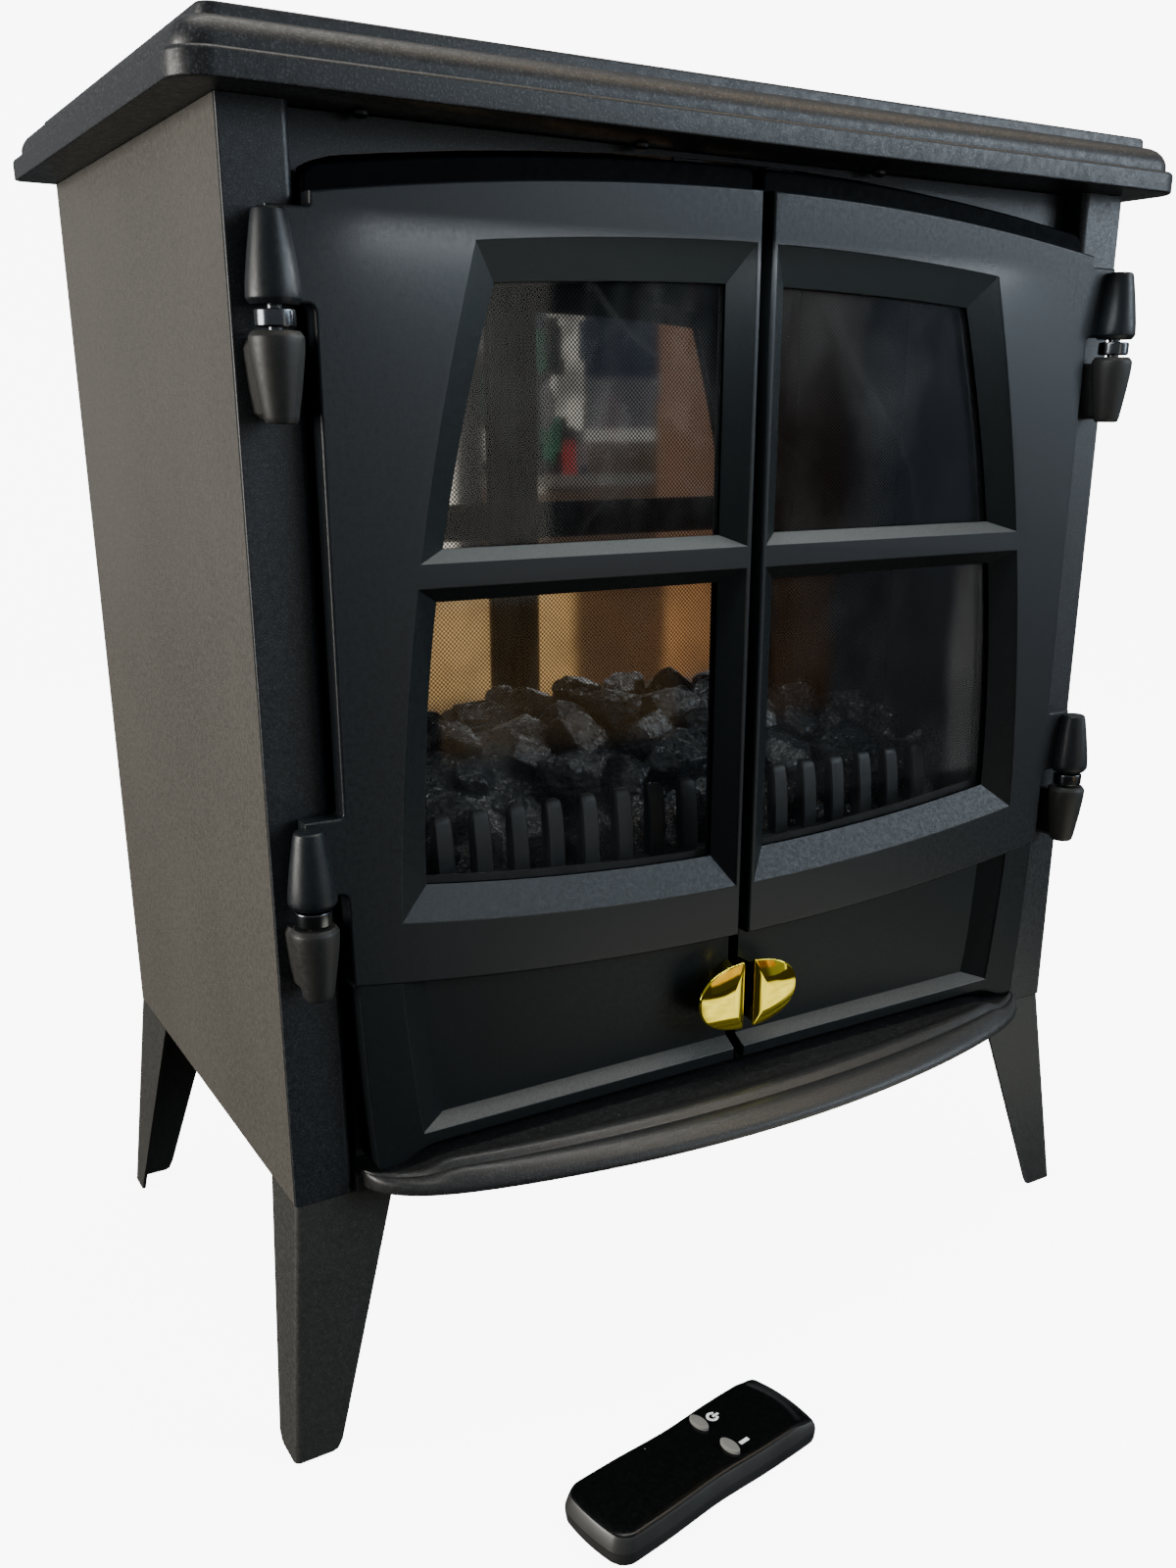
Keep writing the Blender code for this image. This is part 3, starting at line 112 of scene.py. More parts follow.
# ------------------------------------------------------------------- materials
def new_mat(name):
    m = bpy.data.materials.new(name)
    m.use_nodes = True
    return m, m.node_tree, m.node_tree.nodes["Principled BSDF"]


def obj_coords(t):
    return t.nodes.new("ShaderNodeTexCoord").outputs["Object"]


def noise_tex(t, vec, scale, detail=2.0, rough=0.5):
    n = t.nodes.new("ShaderNodeTexNoise")
    n.inputs["Scale"].default_value = scale
    n.inputs["Detail"].default_value = detail
    n.inputs["Roughness"].default_value = rough
    t.links.new(vec, n.inputs["Vector"])
    return n.outputs["Fac"] if "Fac" in n.outputs else n.outputs[0]


def stretch(t, vec, s):
    n = t.nodes.new("ShaderNodeMapping")
    n.inputs["Scale"].default_value = s
    t.links.new(vec, n.inputs["Vector"])
    return n.outputs[0]


def ramp(t, fac, stops, kind="LINEAR"):
    n = t.nodes.new("ShaderNodeValToRGB")
    n.color_ramp.interpolation = kind
    e = n.color_ramp.elements
    while len(e) > 1:
        e.remove(e[-1])
    e[0].position = stops[0][0]
    c = stops[0][1]
    e[0].color = (*c, 1) if isinstance(c, tuple) else (c, c, c, 1)
    for p, c in stops[1:]:
        k = e.new(p)
        k.color = (*c, 1) if isinstance(c, tuple) else (c, c, c, 1)
    t.links.new(fac, n.inputs[0])
    return n.outputs["Color"]


def mixc(t, fac, a, b, mode="MIX"):
    n = t.nodes.new("ShaderNodeMix")
    n.data_type = "RGBA"
    n.blend_type = mode
    for sock, v in ((n.inputs[0], fac), (n.inputs[6], a), (n.inputs[7], b)):
        if isinstance(v, (int, float)):
            sock.default_value = v
        elif isinstance(v, tuple):
            sock.default_value = (*v, 1)
        else:
            t.links.new(v, sock)
    return n.outputs[2]


def maths(t, op, a, b=None, c=None):
    n = t.nodes.new("ShaderNodeMath")
    n.operation = op
    for i, v in enumerate((a, b, c)):
        if v is None:
            continue
        if isinstance(v, (int, float)):
            n.inputs[i].default_value = v
        else:
            t.links.new(v, n.inputs[i])
    return n.outputs[0]


def bump(t, height, strength, distance, prev=None):
    n = t.nodes.new("ShaderNodeBump")
    n.inputs["Strength"].default_value = strength
    n.inputs["Distance"].default_value = distance
    t.links.new(height, n.inputs["Height"])
    if prev is not None:
        t.links.new(prev, n.inputs["Normal"])
    return n.outputs[0]


def voronoi(t, vec, scale, feature="F1"):
    n = t.nodes.new("ShaderNodeTexVoronoi")
    n.feature = feature
    n.inputs["Scale"].default_value = scale
    t.links.new(vec, n.inputs["Vector"])
    return n.outputs["Distance"], n.outputs["Color"]


def specks(t, vec, scale, share, size=0.30):
    """Sparse small dots: a few of the cells of a random pattern."""
    d, c = voronoi(t, vec, scale)
    pick = ramp(t, c, [(1.0 - share, 0.0), (min(1.0, 1.0 - share + 0.02), 1.0)])
    near = ramp(t, d, [(size * 0.5, 1.0), (size, 0.0)])
    return maths(t, "MULTIPLY", pick, near)


def coat(name, dark, light, rough, grain=1100.0, fleck=None, cut=0.60, hill=0.00010, spec=0.5, dust=0.0, sparkle=0.0, wave=0.30):
    """Powder coat: fine grain with lighter flecks, slow change in tone, a little dust."""
    m, t, b = new_mat(name)
    v = obj_coords(t)
    g = noise_tex(t, v, grain, 1.5, 0.6)
    g2 = noise_tex(t, v, grain * 0.30, 2.0, 0.5)
    slow = noise_tex(t, v, 9.0, 3.0, 0.55)
    stops = [(0.34, dark), (cut, light)]
    if fleck:
        stops.append((min(0.98, cut + 0.10), fleck))
    col = ramp(t, g, stops)
    mid = tuple(0.5 * (p + q) for p, q in zip(dark, light))
    col = mixc(t, ramp(t, slow, [(0.35, 0.0), (0.70, 0.45)]), col, mid)
    col = mixc(t, ramp(t, g2, [(0.35, 0.35), (0.60, 0.0)]), col, dark)
    col = mixc(t, 1.0, col, ramp(t, slow, [(0.34, (0.92, 0.92, 0.92)), (0.66, (1.08, 1.08, 1.08))]), "MULTIPLY")
    if dust:
        d = specks(t, v, 190.0, dust, 0.09)
        col = mixc(t, d, col, (0.40, 0.40, 0.38))
    t.links.new(col, b.inputs["Base Color"])
    r = ramp(t, g2, [(0.3, rough - 0.07), (0.7, rough + 0.07)])
    if sparkle:
        r = mixc(t, ramp(t, g, [(cut, 0.0), (cut + 0.08, sparkle)]), r, (0.12, 0.12, 0.12))
    t.links.new(r, b.inputs["Roughness"])
    b.inputs["Specular IOR Level"].default_value = spec
    h = bump(t, g, 0.6, hill)
    h = bump(t, g2, wave, hill * 1.6, h)
    t.links.new(h, b.inputs["Normal"])
    return m


def plain(name, col, rough, metal=0.0, grain=500.0, vary=0.25, hill=0.00004, spec=0.5):
    """Moulded or plated surface with a little grain and wear."""
    m, t, b = new_mat(name)
    v = obj_coords(t)
    g = noise_tex(t, v, grain, 3.0, 0.55)
    slow = noise_tex(t, v, 40.0, 3.0, 0.6)
    lo = tuple(c * (1 - vary) for c in col)
    hi = tuple(min(1.0, c * (1 + vary)) for c in col)
    t.links.new(mixc(t, 0.5, ramp(t, g, [(0.3, lo), (0.7, hi)]), ramp(t, slow, [(0.3, lo), (0.7, hi)])), b.inputs["Base Color"])
    t.links.new(ramp(t, slow, [(0.3, max(0.02, rough - 0.05)), (0.7, rough + 0.06)]), b.inputs["Roughness"])
    b.inputs["Metallic"].default_value = metal
    b.inputs["Specular IOR Level"].default_value = spec
    t.links.new(bump(t, g, 0.4, hill), b.inputs["Normal"])
    return m


PANEL = coat("powder_coat_panel", (0.044, 0.040, 0.034), (0.086, 0.079, 0.067), 0.50, 1500, (0.130, 0.119, 0.102), 0.58, 0.00003, 0.45, 0.0, 0.0, 0.06)
COAT = coat("powder_coat_speckled", (0.0085, 0.0095, 0.0110), (0.0240, 0.0265, 0.0300), 0.40, 1700, (0.070, 0.078, 0.088), 0.57, 0.00008, 0.42, 0.0, 0.3, 0.15)
COAT_PLATE = coat("powder_coat_top_plate", (0.006, 0.0068, 0.0085), (0.018, 0.0195, 0.022), 0.43, 1000, (0.075, 0.080, 0.088), 0.57, 0.00010, 0.40, 0.0, 0.25, 0.15)
COAT_LEG = coat("powder_coat_legs", (0.025, 0.025, 0.023), (0.046, 0.045, 0.041), 0.44, 1500, (0.074, 0.072, 0.066), 0.60, 0.00004, 0.42, 0.0, 0.0, 0.10)
SHELF = coat("powder_coat_shelf", (0.012, 0.0125, 0.013), (0.027, 0.028, 0.028), 0.40, 1500, (0.066, 0.067, 0.066), 0.58, 0.00008, 0.5, 0.03, 0.2, 0.15)
DUSTY = coat("powder_coat_dusty", (0.012, 0.0128, 0.013), (0.023, 0.024, 0.024), 0.44, 1100, (0.070, 0.070, 0.068), 0.60, 0.00010, 0.4, 0.16, 0.0, 0.15)
# Painted light: a grey several times lighter than the cast for up-facing ledges, standing in for light from above and
# the front.
LEDGE_PAINTED_LIGHT = coat("cast_ledge_painted_light", (0.056, 0.059, 0.058), (0.092, 0.096, 0.094), 0.48, 1300, None, 0.60, 0.00005, 0.36, 0.0, 0.0, 0.15)
# Painted shade: a duller, slightly less blue copy of the satin cast for the lower block, the window reveals and the
# pan, which lie in shade.
CAST_PAINTED_SHADE = coat("cast_painted_shade_low_sheen", (0.0058, 0.0078, 0.0088), (0.0092, 0.0120, 0.0132), 0.44, 1600, None, 0.62, 0.00004, 0.19)
# Painted shade: an even duller copy of the cast for the pocket's side walls, so they stay dark.
CAST_FLANK_PAINTED_SHADE = coat("cast_flank_painted_shade", (0.0058, 0.0078, 0.0085), (0.0088, 0.0112, 0.0120), 0.46, 1600, None, 0.62, 0.00004, 0.09)
# Painted light: a lighter, more neutral copy of the cast for the windows' up-facing bottom bevels.
BEVEL_PAINTED_LIGHT = coat("cast_bevel_painted_light", (0.0150, 0.0155, 0.0130), (0.0230, 0.0235, 0.0200), 0.42, 1300, None, 0.62, 0.00005, 0.34)
CAST = coat("cast_satin_black", (0.0058, 0.0078, 0.0100), (0.0092, 0.0120, 0.0150), 0.40, 1600, None, 0.62, 0.00004, 0.33)
SOCKET = coat("cast_socket_black", (0.0170, 0.0170, 0.0160), (0.0240, 0.0240, 0.0225), 0.48, 1500, None, 0.62, 0.00002, 0.34)
# Painted shade: the pan and its arched rim are near black, much darker than the cast, standing in for the shade under
# the top plate.
RIM_PAINTED_SHADE = coat("cast_rim_painted_shade", (0.0008, 0.0012, 0.0018), (0.0014, 0.0020, 0.0028), 0.55, 1300, None, 0.62, 0.000004, 0.03)
FRET = coat("cast_fret_black", (0.0120, 0.0138, 0.0146), (0.0170, 0.0192, 0.0202), 0.44, 1300, None, 0.62, 0.00003, 0.40)
LINER = plain("firebox_liner", (0.012, 0.012, 0.012), 0.75, 0.0, 300, 0.35, 0.0001)
STEEL = plain("zinc_plated_steel", (0.50, 0.51, 0.52), 0.34, 1.0, 700, 0.12, 0.00003)
SCREWS = plain("blackened_screws", (0.05, 0.05, 0.052), 0.38, 1.0, 900, 0.3, 0.00003)
DARK_CHROME = plain("dark_chrome", (0.105, 0.112, 0.122), 0.20, 1.0, 900, 0.15, 0.00001)
PLASTIC = plain("black_moulding", (0.016, 0.016, 0.017), 0.38, 0.0, 900, 0.25, 0.00003)
REMOTE_TOP = coat("remote_gloss_black", (0.0024, 0.0027, 0.0030), (0.0040, 0.0044, 0.0047), 0.20, 1600, None, 0.62, 0.000004, 0.30, 0.07)
REMOTE_LOW = plain("remote_satin_black", (0.034, 0.034, 0.0325), 0.40, 0.0, 1500, 0.25, 0.00002)
GREY_BUTTON = plain("grey_rubber", (0.21, 0.205, 0.19), 0.60, 0.0, 2200, 0.25, 0.00003)
MARK_PAINTED_GLOW = plain("white_print_painted_glow", (0.97, 0.97, 0.96), 0.45, 0.0, 2500, 0.03, 0.000003)
# Painted glow: the white print also emits a little light of its own.
MARK_PAINTED_GLOW.node_tree.nodes["Principled BSDF"].inputs["Emission Color"].default_value = (1, 1, 1, 1)
MARK_PAINTED_GLOW.node_tree.nodes["Principled BSDF"].inputs["Emission Strength"].default_value = 0.35
MICA = plain("mica_board_look", (0.42, 0.33, 0.20), 0.55, 0.0, 260, 0.35, 0.00003)
WIRE = plain("resistance_wire_look", (0.40, 0.28, 0.20), 0.42, 1.0, 1500, 0.35, 0.00003)
CELL = plain("cell_can_look", (0.62, 0.62, 0.60), 0.25, 1.0, 900, 0.1, 0.00001)


def brass():
    m, t, b = new_mat("brass_polished")
    v = obj_coords(t)
    slow = noise_tex(t, v, 60.0, 3.0, 0.6)
    scr = noise_tex(t, stretch(t, v, (30.0, 400.0, 900.0)), 1.0, 2.0, 0.5)
    pit = specks(t, v, 420.0, 0.10, 0.22)
    c = ramp(t, slow, [(0.3, (0.95, 0.76, 0.045)), (0.7, (0.97, 0.82, 0.070))])
    t.links.new(mixc(t, maths(t, "MULTIPLY", pit, 0.55), c, (0.35, 0.24, 0.05)), b.inputs["Base Color"])
    b.inputs["Metallic"].default_value = 1.0
    t.links.new(ramp(t, scr, [(0.35, 0.035), (0.75, 0.08)]), b.inputs["Roughness"])
    t.links.new(bump(t, slow, 0.16, 0.00007), b.inputs["Normal"])
    return m


def coal():
    m, t, b = new_mat("resin_coal")
    v = obj_coords(t)
    big = noise_tex(t, v, 55.0, 4.0, 0.65)
    fine = noise_tex(t, v, 420.0, 3.0, 0.65)
    c = ramp(t, big, [(0.30, (0.0042, 0.0060, 0.0072)), (0.55, (0.0110, 0.0148, 0.0168)), (0.80, (0.024, 0.029, 0.031))])
    ash = ramp(t, noise_tex(t, v, 130.0, 4.0, 0.7), [(0.62, 0.0), (0.78, 0.5)])
    c = mixc(t, ash, c, (0.044, 0.050, 0.051))
    # Painted glints: sparse light specks, only inside noise patches, stand in for highlights on the coal.
    d, cc = voronoi(t, v, 430.0)
    painted_glint = ramp(t, cc, [(0.90, 0.0), (0.94, 1.0)])
    patch = ramp(t, noise_tex(t, v, 48.0, 1.0, 0.5), [(0.50, 0.0), (0.62, 1.0)])
    painted_glint = maths(t, "MULTIPLY", painted_glint, patch)
    c = mixc(t, maths(t, "MULTIPLY", painted_glint, 0.75), c, (0.22, 0.25, 0.28))
    t.links.new(c, b.inputs["Base Color"])
    r = ramp(t, fine, [(0.38, 0.10), (0.62, 0.55)])
    t.links.new(r, b.inputs["Roughness"])
    b.inputs["Specular IOR Level"].default_value = 0.7
    h = bump(t, fine, 0.9, 0.0007)
    vd, vc = voronoi(t, v, 300.0)
    h = bump(t, vd, 0.55, 0.0010, h)
    t.links.new(h, b.inputs["Normal"])
    return m


def dotted_mirror():
    m, t, b = new_mat("flame_screen_dotted")
    v = obj_coords(t)
    s = t.nodes.new("ShaderNodeSeparateXYZ")
    t.links.new(v, s.inputs[0])
    k = math.tau / 0.0023
    p = maths(t, "SINE", maths(t, "MULTIPLY", s.outputs[0], k))
    q = maths(t, "SINE", maths(t, "MULTIPLY", s.outputs[2], k))
    dots = ramp(t, maths(t, "MULTIPLY_ADD", maths(t, "MULTIPLY", p, q), 0.5, 0.5), [(0.46, 0.0), (0.60, 1.0)])
    # Painted reflection: the screen's tint drifts slowly between cool and warm in tall soft bands, like a reflected
    # room; the dots are the screen's own print.
    slow = noise_tex(t, stretch(t, v, (1.0, 1.0, 0.45)), 16.0, 2.0, 0.5)
    tint_painted_reflection = ramp(t, slow, [(0.30, (0.70, 0.72, 0.76)), (0.60, (0.80, 0.76, 0.70))])
    t.links.new(mixc(t, dots, (0.20, 0.19, 0.18), tint_painted_reflection), b.inputs["Base Color"])
    b.inputs["Metallic"].default_value = 1.0
    t.links.new(ramp(t, dots, [(0.0, 0.07), (1.0, 0.03)]), b.inputs["Roughness"])
    return m


def glass():
    m, t, b = new_mat("door_pane")
    v = obj_coords(t)
    dust = maths(t, "MAXIMUM", specks(t, v, 130.0, 0.045, 0.10), maths(t, "MULTIPLY", specks(t, v, 420.0, 0.05, 0.22), 0.5))
    smear = ramp(t, noise_tex(t, stretch(t, v, (1.0, 1.0, 0.6)), 22.0, 4.0, 0.6), [(0.45, 0.0), (0.85, 0.035)])
    w = t.nodes.new("ShaderNodeTexWave")
    w.inputs["Scale"].default_value = 3.0
    w.inputs["Distortion"].default_value = 22.0
    w.inputs["Detail"].default_value = 1.0
    w.inputs["Detail Scale"].default_value = 1.2
    t.links.new(v, w.inputs["Vector"])
    hair = ramp(t, w.outputs["Fac"], [(0.9992, 0.0), (0.9999, 0.008)])
    smear = maths(t, "ADD", smear, hair)
    a = maths(t, "ADD", maths(t, "MULTIPLY", dust, 0.75), maths(t, "ADD", smear, 0.12))
    t.links.new(mixc(t, maths(t, "MINIMUM", maths(t, "ADD", dust, maths(t, "MULTIPLY", smear, 6.0)), 1.0), (0.010, 0.011, 0.012), (0.55, 0.55, 0.52)), b.inputs["Base Color"])
    t.links.new(a, b.inputs["Alpha"])
    t.links.new(ramp(t, dust, [(0.0, 0.04), (1.0, 0.6)]), b.inputs["Roughness"])
    b.inputs["IOR"].default_value = 1.8
    return m


def board(name, base, hi_axis, hi_at, hi_col):
    """Circuit board with parts that stand above it in another colour."""
    m, t, b = new_mat(name)
    v = obj_coords(t)
    s = t.nodes.new("ShaderNodeSeparateXYZ")
    t.links.new(v, s.inputs[0])
    g = noise_tex(t, v, 120.0, 4.0, 0.6)
    c = ramp(t, g, [(0.45, base), (0.5, tuple(min(1, k * 1.9) for k in base)), (0.55, base)])
    above = ramp(t, maths(t, "MULTIPLY_ADD", s.outputs[hi_axis], 2000.0, -2000.0 * hi_at), [(0.0, 0.0), (1.0, 1.0)])
    t.links.new(mixc(t, above, c, hi_col), b.inputs["Base Color"])
    b.inputs["Roughness"].default_value = 0.42
    t.links.new(bump(t, g, 0.3, 0.0001), b.inputs["Normal"])
    return m


BRASS, COAL, MIRROR, GLASS = brass(), coal(), dotted_mirror(), glass()
LAMP_BOARD = board("lamp_board_look", (0.02, 0.10, 0.05), 2, 0.2457, (0.85, 0.62, 0.30))
CONTROL_BOARD = board("control_board_look", (0.02, 0.10, 0.05), 1, -0.0984 + DY, (0.06, 0.07, 0.09))
REMOTE_BOARD = board("remote_board_look", (0.02, 0.10, 0.05), 2, 0.5, (0.1, 0.1, 0.1))


# ------------------------------------------------------------------ mesh tools
class Shape:
    """Gathers points and faces of one visible piece."""

    def __init__(self):
        self.v, self.f = [], []

    def add(self, verts, faces):
        o = len(self.v)
        self.v += [tuple(p) for p in verts]
        self.f += [tuple(i + o for i in f) for f in faces]

    def loft(self, rings, cap0=False, cap1=False, closed=True):
        n = len(rings[0])
        o = len(self.v)
        for r in rings:
            self.v += [tuple(p) for p in r]
        for a in range(len(rings) - 1):
            for i in range(n if closed else n - 1):
                j = (i + 1) % n
                self.f.append((o + a * n + i, o + a * n + j, o + (a + 1) * n + j, o + (a + 1) * n + i))
        if cap0:
            self.f.append(tuple(o + i for i in reversed(range(n))))
        if cap1:
            self.f.append(tuple(o + (len(rings) - 1) * n + i for i in range(n)))

    def fill(self, loops, at, plane="XZ"):
        """Flat face with holes."""
        pts = [p for lp in loops for p in lp]
        tris = tessellate_polygon([[Vector((u, v, 0)) for u, v in lp] for lp in loops])
        to3 = {"XZ": lambda p: (p[0], at, p[1]), "XY": lambda p: (p[0], p[1], at), "YZ": lambda p: (at, p[0], p[1])}[plane]
        self.add([to3(p) for p in pts], [tuple(tr) for tr in tris])

    def lathe(self, profile, at, steps=44, axis="Z"):
        rings = []
        for k in range(steps):
            a = math.tau * k / steps
            if axis == "Z":
                rings.append([(at[0] + r * math.cos(a), at[1] + r * math.sin(a), at[2] + z) for r, z in profile])
            elif axis == "Y":
                rings.append([(at[0] + r * math.cos(a), at[1] - z, at[2] + r * math.sin(a)) for r, z in profile])
            else:
                rings.append([(at[0] + z, at[1] + r * math.cos(a), at[2] + r * math.sin(a)) for r, z in profile])
        rings.append(rings[0])
        self.loft(rings, closed=False)

    def slab(self, lo, hi, r=0.0):
        """Block with its edges eased by r."""
        bm = bmesh.new()
        bmesh.ops.create_cube(bm, size=1.0)
        for p in bm.verts:
            p.co = Vector([(a + b) / 2 + c * abs(b - a) for a, b, c in zip(lo, hi, p.co)])
        if r:
            bmesh.ops.bevel(bm, geom=list(bm.edges), offset=r, segments=2, affect="EDGES", profile=0.6)
        bm.verts.ensure_lookup_table()
        self.add([p.co[:] for p in bm.verts], [[p.index for p in f.verts] for f in bm.faces])
        bm.free()

    def mirrored(self):
        s = Shape()
        s.v = [(-x, y, z) for x, y, z in self.v]
        s.f = [tuple(reversed(f)) for f in self.f]
        return s

    def moved(self, fn):
        s = Shape()
        s.v = [tuple(fn(p)) for p in self.v]
        s.f = list(self.f)
        return s

    def build(self, name, material, body, slot, smooth=32, replaces=(), weld=2e-6):
        me = bpy.data.meshes.new(name)
        me.from_pydata([(x, y + DY, z) for x, y, z in self.v], [], self.f)
        bm = bmesh.new()
        bm.from_mesh(me)
        bmesh.ops.remove_doubles(bm, verts=bm.verts, dist=weld)
        bmesh.ops.dissolve_degenerate(bm, edges=bm.edges, dist=1e-7)
        bmesh.ops.recalc_face_normals(bm, faces=bm.faces)
        bm.to_mesh(me)
        bm.free()
        ob = bpy.data.objects.new(name, me)
        bpy.context.scene.collection.objects.link(ob)
        me.materials.append(material)
        me.shade_smooth()
        me.set_sharp_from_angle(angle=math.radians(smooth))
        md = ob.modifiers.new("even_normals", "WEIGHTED_NORMAL")
        md.keep_sharp = True
        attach(ob, body)
        if replaces:
            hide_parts(*replaces)
        return ob


def second_finish(ob, material, pick):
    """Gives the faces that pick(centre, normal) chooses a second finish."""
    me = ob.data
    me.materials.append(material)
    k = len(me.materials) - 1
    for f in me.polygons:
        c = f.center
        if pick((c[0], c[1] - DY, c[2]), f.normal):
            f.material_index = k


def lin(a, b, n):
    return [a + (b - a) * i / (n - 1) for i in range(n)]


def inset(p, d):
    out = []
    n = len(p)
    for i in range(n):
        a, b, c = Vector(p[i - 1]), Vector(p[i]), Vector(p[(i + 1) % n])
        e0, e1 = (b - a).normalized(), (c - b).normalized()
        n0, n1 = Vector((-e0.y, e0.x)), Vector((-e1.y, e1.x))
        m = n0 + n1
        m = m / max(0.35, m.dot(n0))
        out.append(tuple(b + m * d))
    return out


def ring_at(loop, y):
    return [(u, y, v) for u, v in loop]


def eased(outline, front, r, n=5, back=None):
    """Rings of a rounded front edge, from the flat face out to the side wall."""
    out = []
    for k in range(n):
        t = math.pi / 2 * k / (n - 1)
        out.append(ring_at(inset(outline, r * (1 - math.sin(t))), front + r * (1 - math.cos(t))))
    if back is not None:
        out.append(ring_at(outline, back))
    return out


def corner(c, r, a0, a1, n=5):
    """Points of a rounded corner about a centre."""
    return [(c[0] + r * math.cos(math.radians(a)), c[1] + r * math.sin(math.radians(a))) for a in lin(a0, a1, n)]


# ------------------------------------------------------------------- top plate
def plan_ring(ins, z, r=0.0145, rb=0.0030, n=12):
    w, f, b = PLATE_HALF_W - ins, PLATE_FRONT + ins, PLATE_BACK - ins
    rf = max(r - ins * 0.6, 0.0015)
    out = []
    for cx, cy, rad, a0 in ((-w + rf, f + rf, rf, 180), (w - rf, f + rf, rf, 270), (w - rb, b - rb, rb, 0), (-w + rb, b - rb, rb, 90)):
        for k in range(n):
            a = math.radians(a0 + 90 * k / (n - 1))
            out.append((cx + rad * math.cos(a), cy + rad * math.sin(a), z))
    return out


def mouth_ring(z, n=12):
    w, d, r = 0.2150, 0.1120, 0.002
    out = []
    for cx, cy, a0 in ((-w + r, -d + r, 180), (w - r, -d + r, 270), (w - r, d - r, 0), (-w + r, d - r, 90)):
        for k in range(n):
            a = math.radians(a0 + 90 * k / (n - 1))
            out.append((cx + r * math.cos(a), cy + r * math.sin(a), z))
    return out


prof = [(0.0010, 0.5742), (0.0003, 0.5745), (0.0, 0.5751), (0.0, 0.5816), (0.0003, 0.5825), (0.0009, 0.5831), (0.0018, 0.5834), (0.0029, 0.5832), (0.0034, 0.5833), (0.0033, 0.5845)]
prof += [(0.0032 + 0.0103 * (1 - math.cos(math.radians(a))), 0.5845 + 0.0093 * math.sin(math.radians(a))) for a in (11, 22, 34, 45, 56, 67, 78, 90)]
prof += [(0.0139, 0.5941), (0.0141, 0.5968), (0.0144, 0.5975), (0.0150, 0.5979), (0.0160, 0.5980)]
prof = [(i, z if z < 0.5765 else 0.5765 + (z - 0.5765) * (TOP_Z - 0.5765) / 0.0215) for i, z in prof]
s = Shape()
rings = [mouth_ring(0.5765), mouth_ring(0.5742)] + [plan_ring(i, z, rb=0.003 + (0.004 if 0.585 < z < 0.5955 else 0)) for i, z in prof]
rings = [plan_ring(0.0155, TOP_Z - 0.0016), plan_ring(0.0150, 0.5922), plan_ring(0.0060, 0.5880, rb=0.006), plan_ring(0.0020, 0.5825), plan_ring(0.0020, 0.5765)] + rings
s.loft(rings, cap0=True, cap1=True)
s.build("top_plate_look", COAT_PLATE, "stove", "black_powder_coat", 32, ["top_plate"])

# -------------------------------------------------------------- front posts
KNUCKLE = [(0.0, 0.0325), (0.0046, 0.0325), (0.0055, 0.0323), (0.0061, 0.0317), (0.0066, 0.0300), (0.0073, 0.0260), (0.0081, 0.0210), (0.0088, 0.0165), (0.0094, 0.0120),
           (0.0099, 0.0080), (0.01015, 0.0045), (0.0102, 0.0024), (0.0099, 0.0016), (0.0089, 0.0003), (0.0085, 0.0), (0.0034, 0.0), (0.0034, 0.0125), (0.0, 0.0125)]


def post_plan(r=0.0035, ro=0.0007):
    x0, xo, x1, y0, y1, t = POST_IN, BODY_W - 0.0001, BODY_W - 0.0029, POST_Y, -0.1120, 0.0020
    p = [(x0, y1)]
    p += corner((x0 + r, y0 + r), r, 180, 270, 9)
    p += corner((xo - ro, y0 + ro), ro, 270, 360, 8)
    p += [(xo, -0.1364), (x1, -0.1364), (x1, y1), (x1 - t, y1), (x1 - t, y0 + t)]
    p += corner((x0 + r, y0 + r), r - t, 270, 180, 5)
    p += [(x0 + t, y1)]
    return p


def tri_cap(shape, plan, z):
    shape.fill([plan], z, "XY")


for sx, side in ((1, "right"), (-1, "left")):
    s = Shape()
    plan = post_plan()
    s.loft([[(x, y, z) for x, y in plan] for z in (BODY_Z0, 0.30, 0.42, BODY_Z1)])
    tri_cap(s, plan, BODY_Z0)
    tri_cap(s, plan, BODY_Z1)
    if sx < 0:
        s = s.mirrored()
    s.build("front_post_look_" + side, COAT, "stove", "black_powder_coat", 32, ["front_post_" + side])
    s = Shape()
    for drop in (0.0, HINGE_DROP):
        zt = POST_KN_TOP - drop
        s.lathe([(r, -z) for r, z in KNUCKLE], (HINGE_X, HINGE_Y, zt))
        rows = []
        for z, hw in ((zt - 0.0030, 0.0060), (zt - 0.0060, 0.0072), (zt - 0.0200, 0.0062), (zt - 0.0290, 0.0050), (zt - 0.0310, 0.0030)):
            rows.append([(HINGE_X - hw, HINGE_Y + 0.0030, z), (HINGE_X + hw, HINGE_Y + 0.0030, z), (HINGE_X + hw * 1.15, POST_Y + 0.0008, z), (HINGE_X - hw * 1.15, POST_Y + 0.0008, z)])
        s.loft(rows, True, True)
    if sx < 0:
        s = s.mirrored()
    s.build("hinge_sockets_look_" + side, SOCKET, "stove", "black_powder_coat", 32, ["front_post_" + side])
    # side panel: flat sheet folded in at the back
    w, t, b, f = BODY_W, 0.0015, BODY_D, -0.1362
    plan = [(w - t, f), (w, f)] + corner((w - 0.0020, b - 0.0020), 0.0020, 0, 90, 6)
    plan += [(w - 0.0120, b), (w - 0.0120, b - t), (w - 0.0020, b - t), (w - t, b - 0.0020)]
    s = Shape()
    s.loft([[(x, y, z) for x, y in plan] for z in (BODY_Z0, BODY_Z0 + 0.0004, BODY_Z1)])
    tri_cap(s, plan, BODY_Z0)
    tri_cap(s, plan, BODY_Z1)
    if sx < 0:
        s = s.mirrored()
    s.build("side_panel_look_" + side, PANEL, "stove", "black_powder_coat", 30, ["side_panel_" + side])

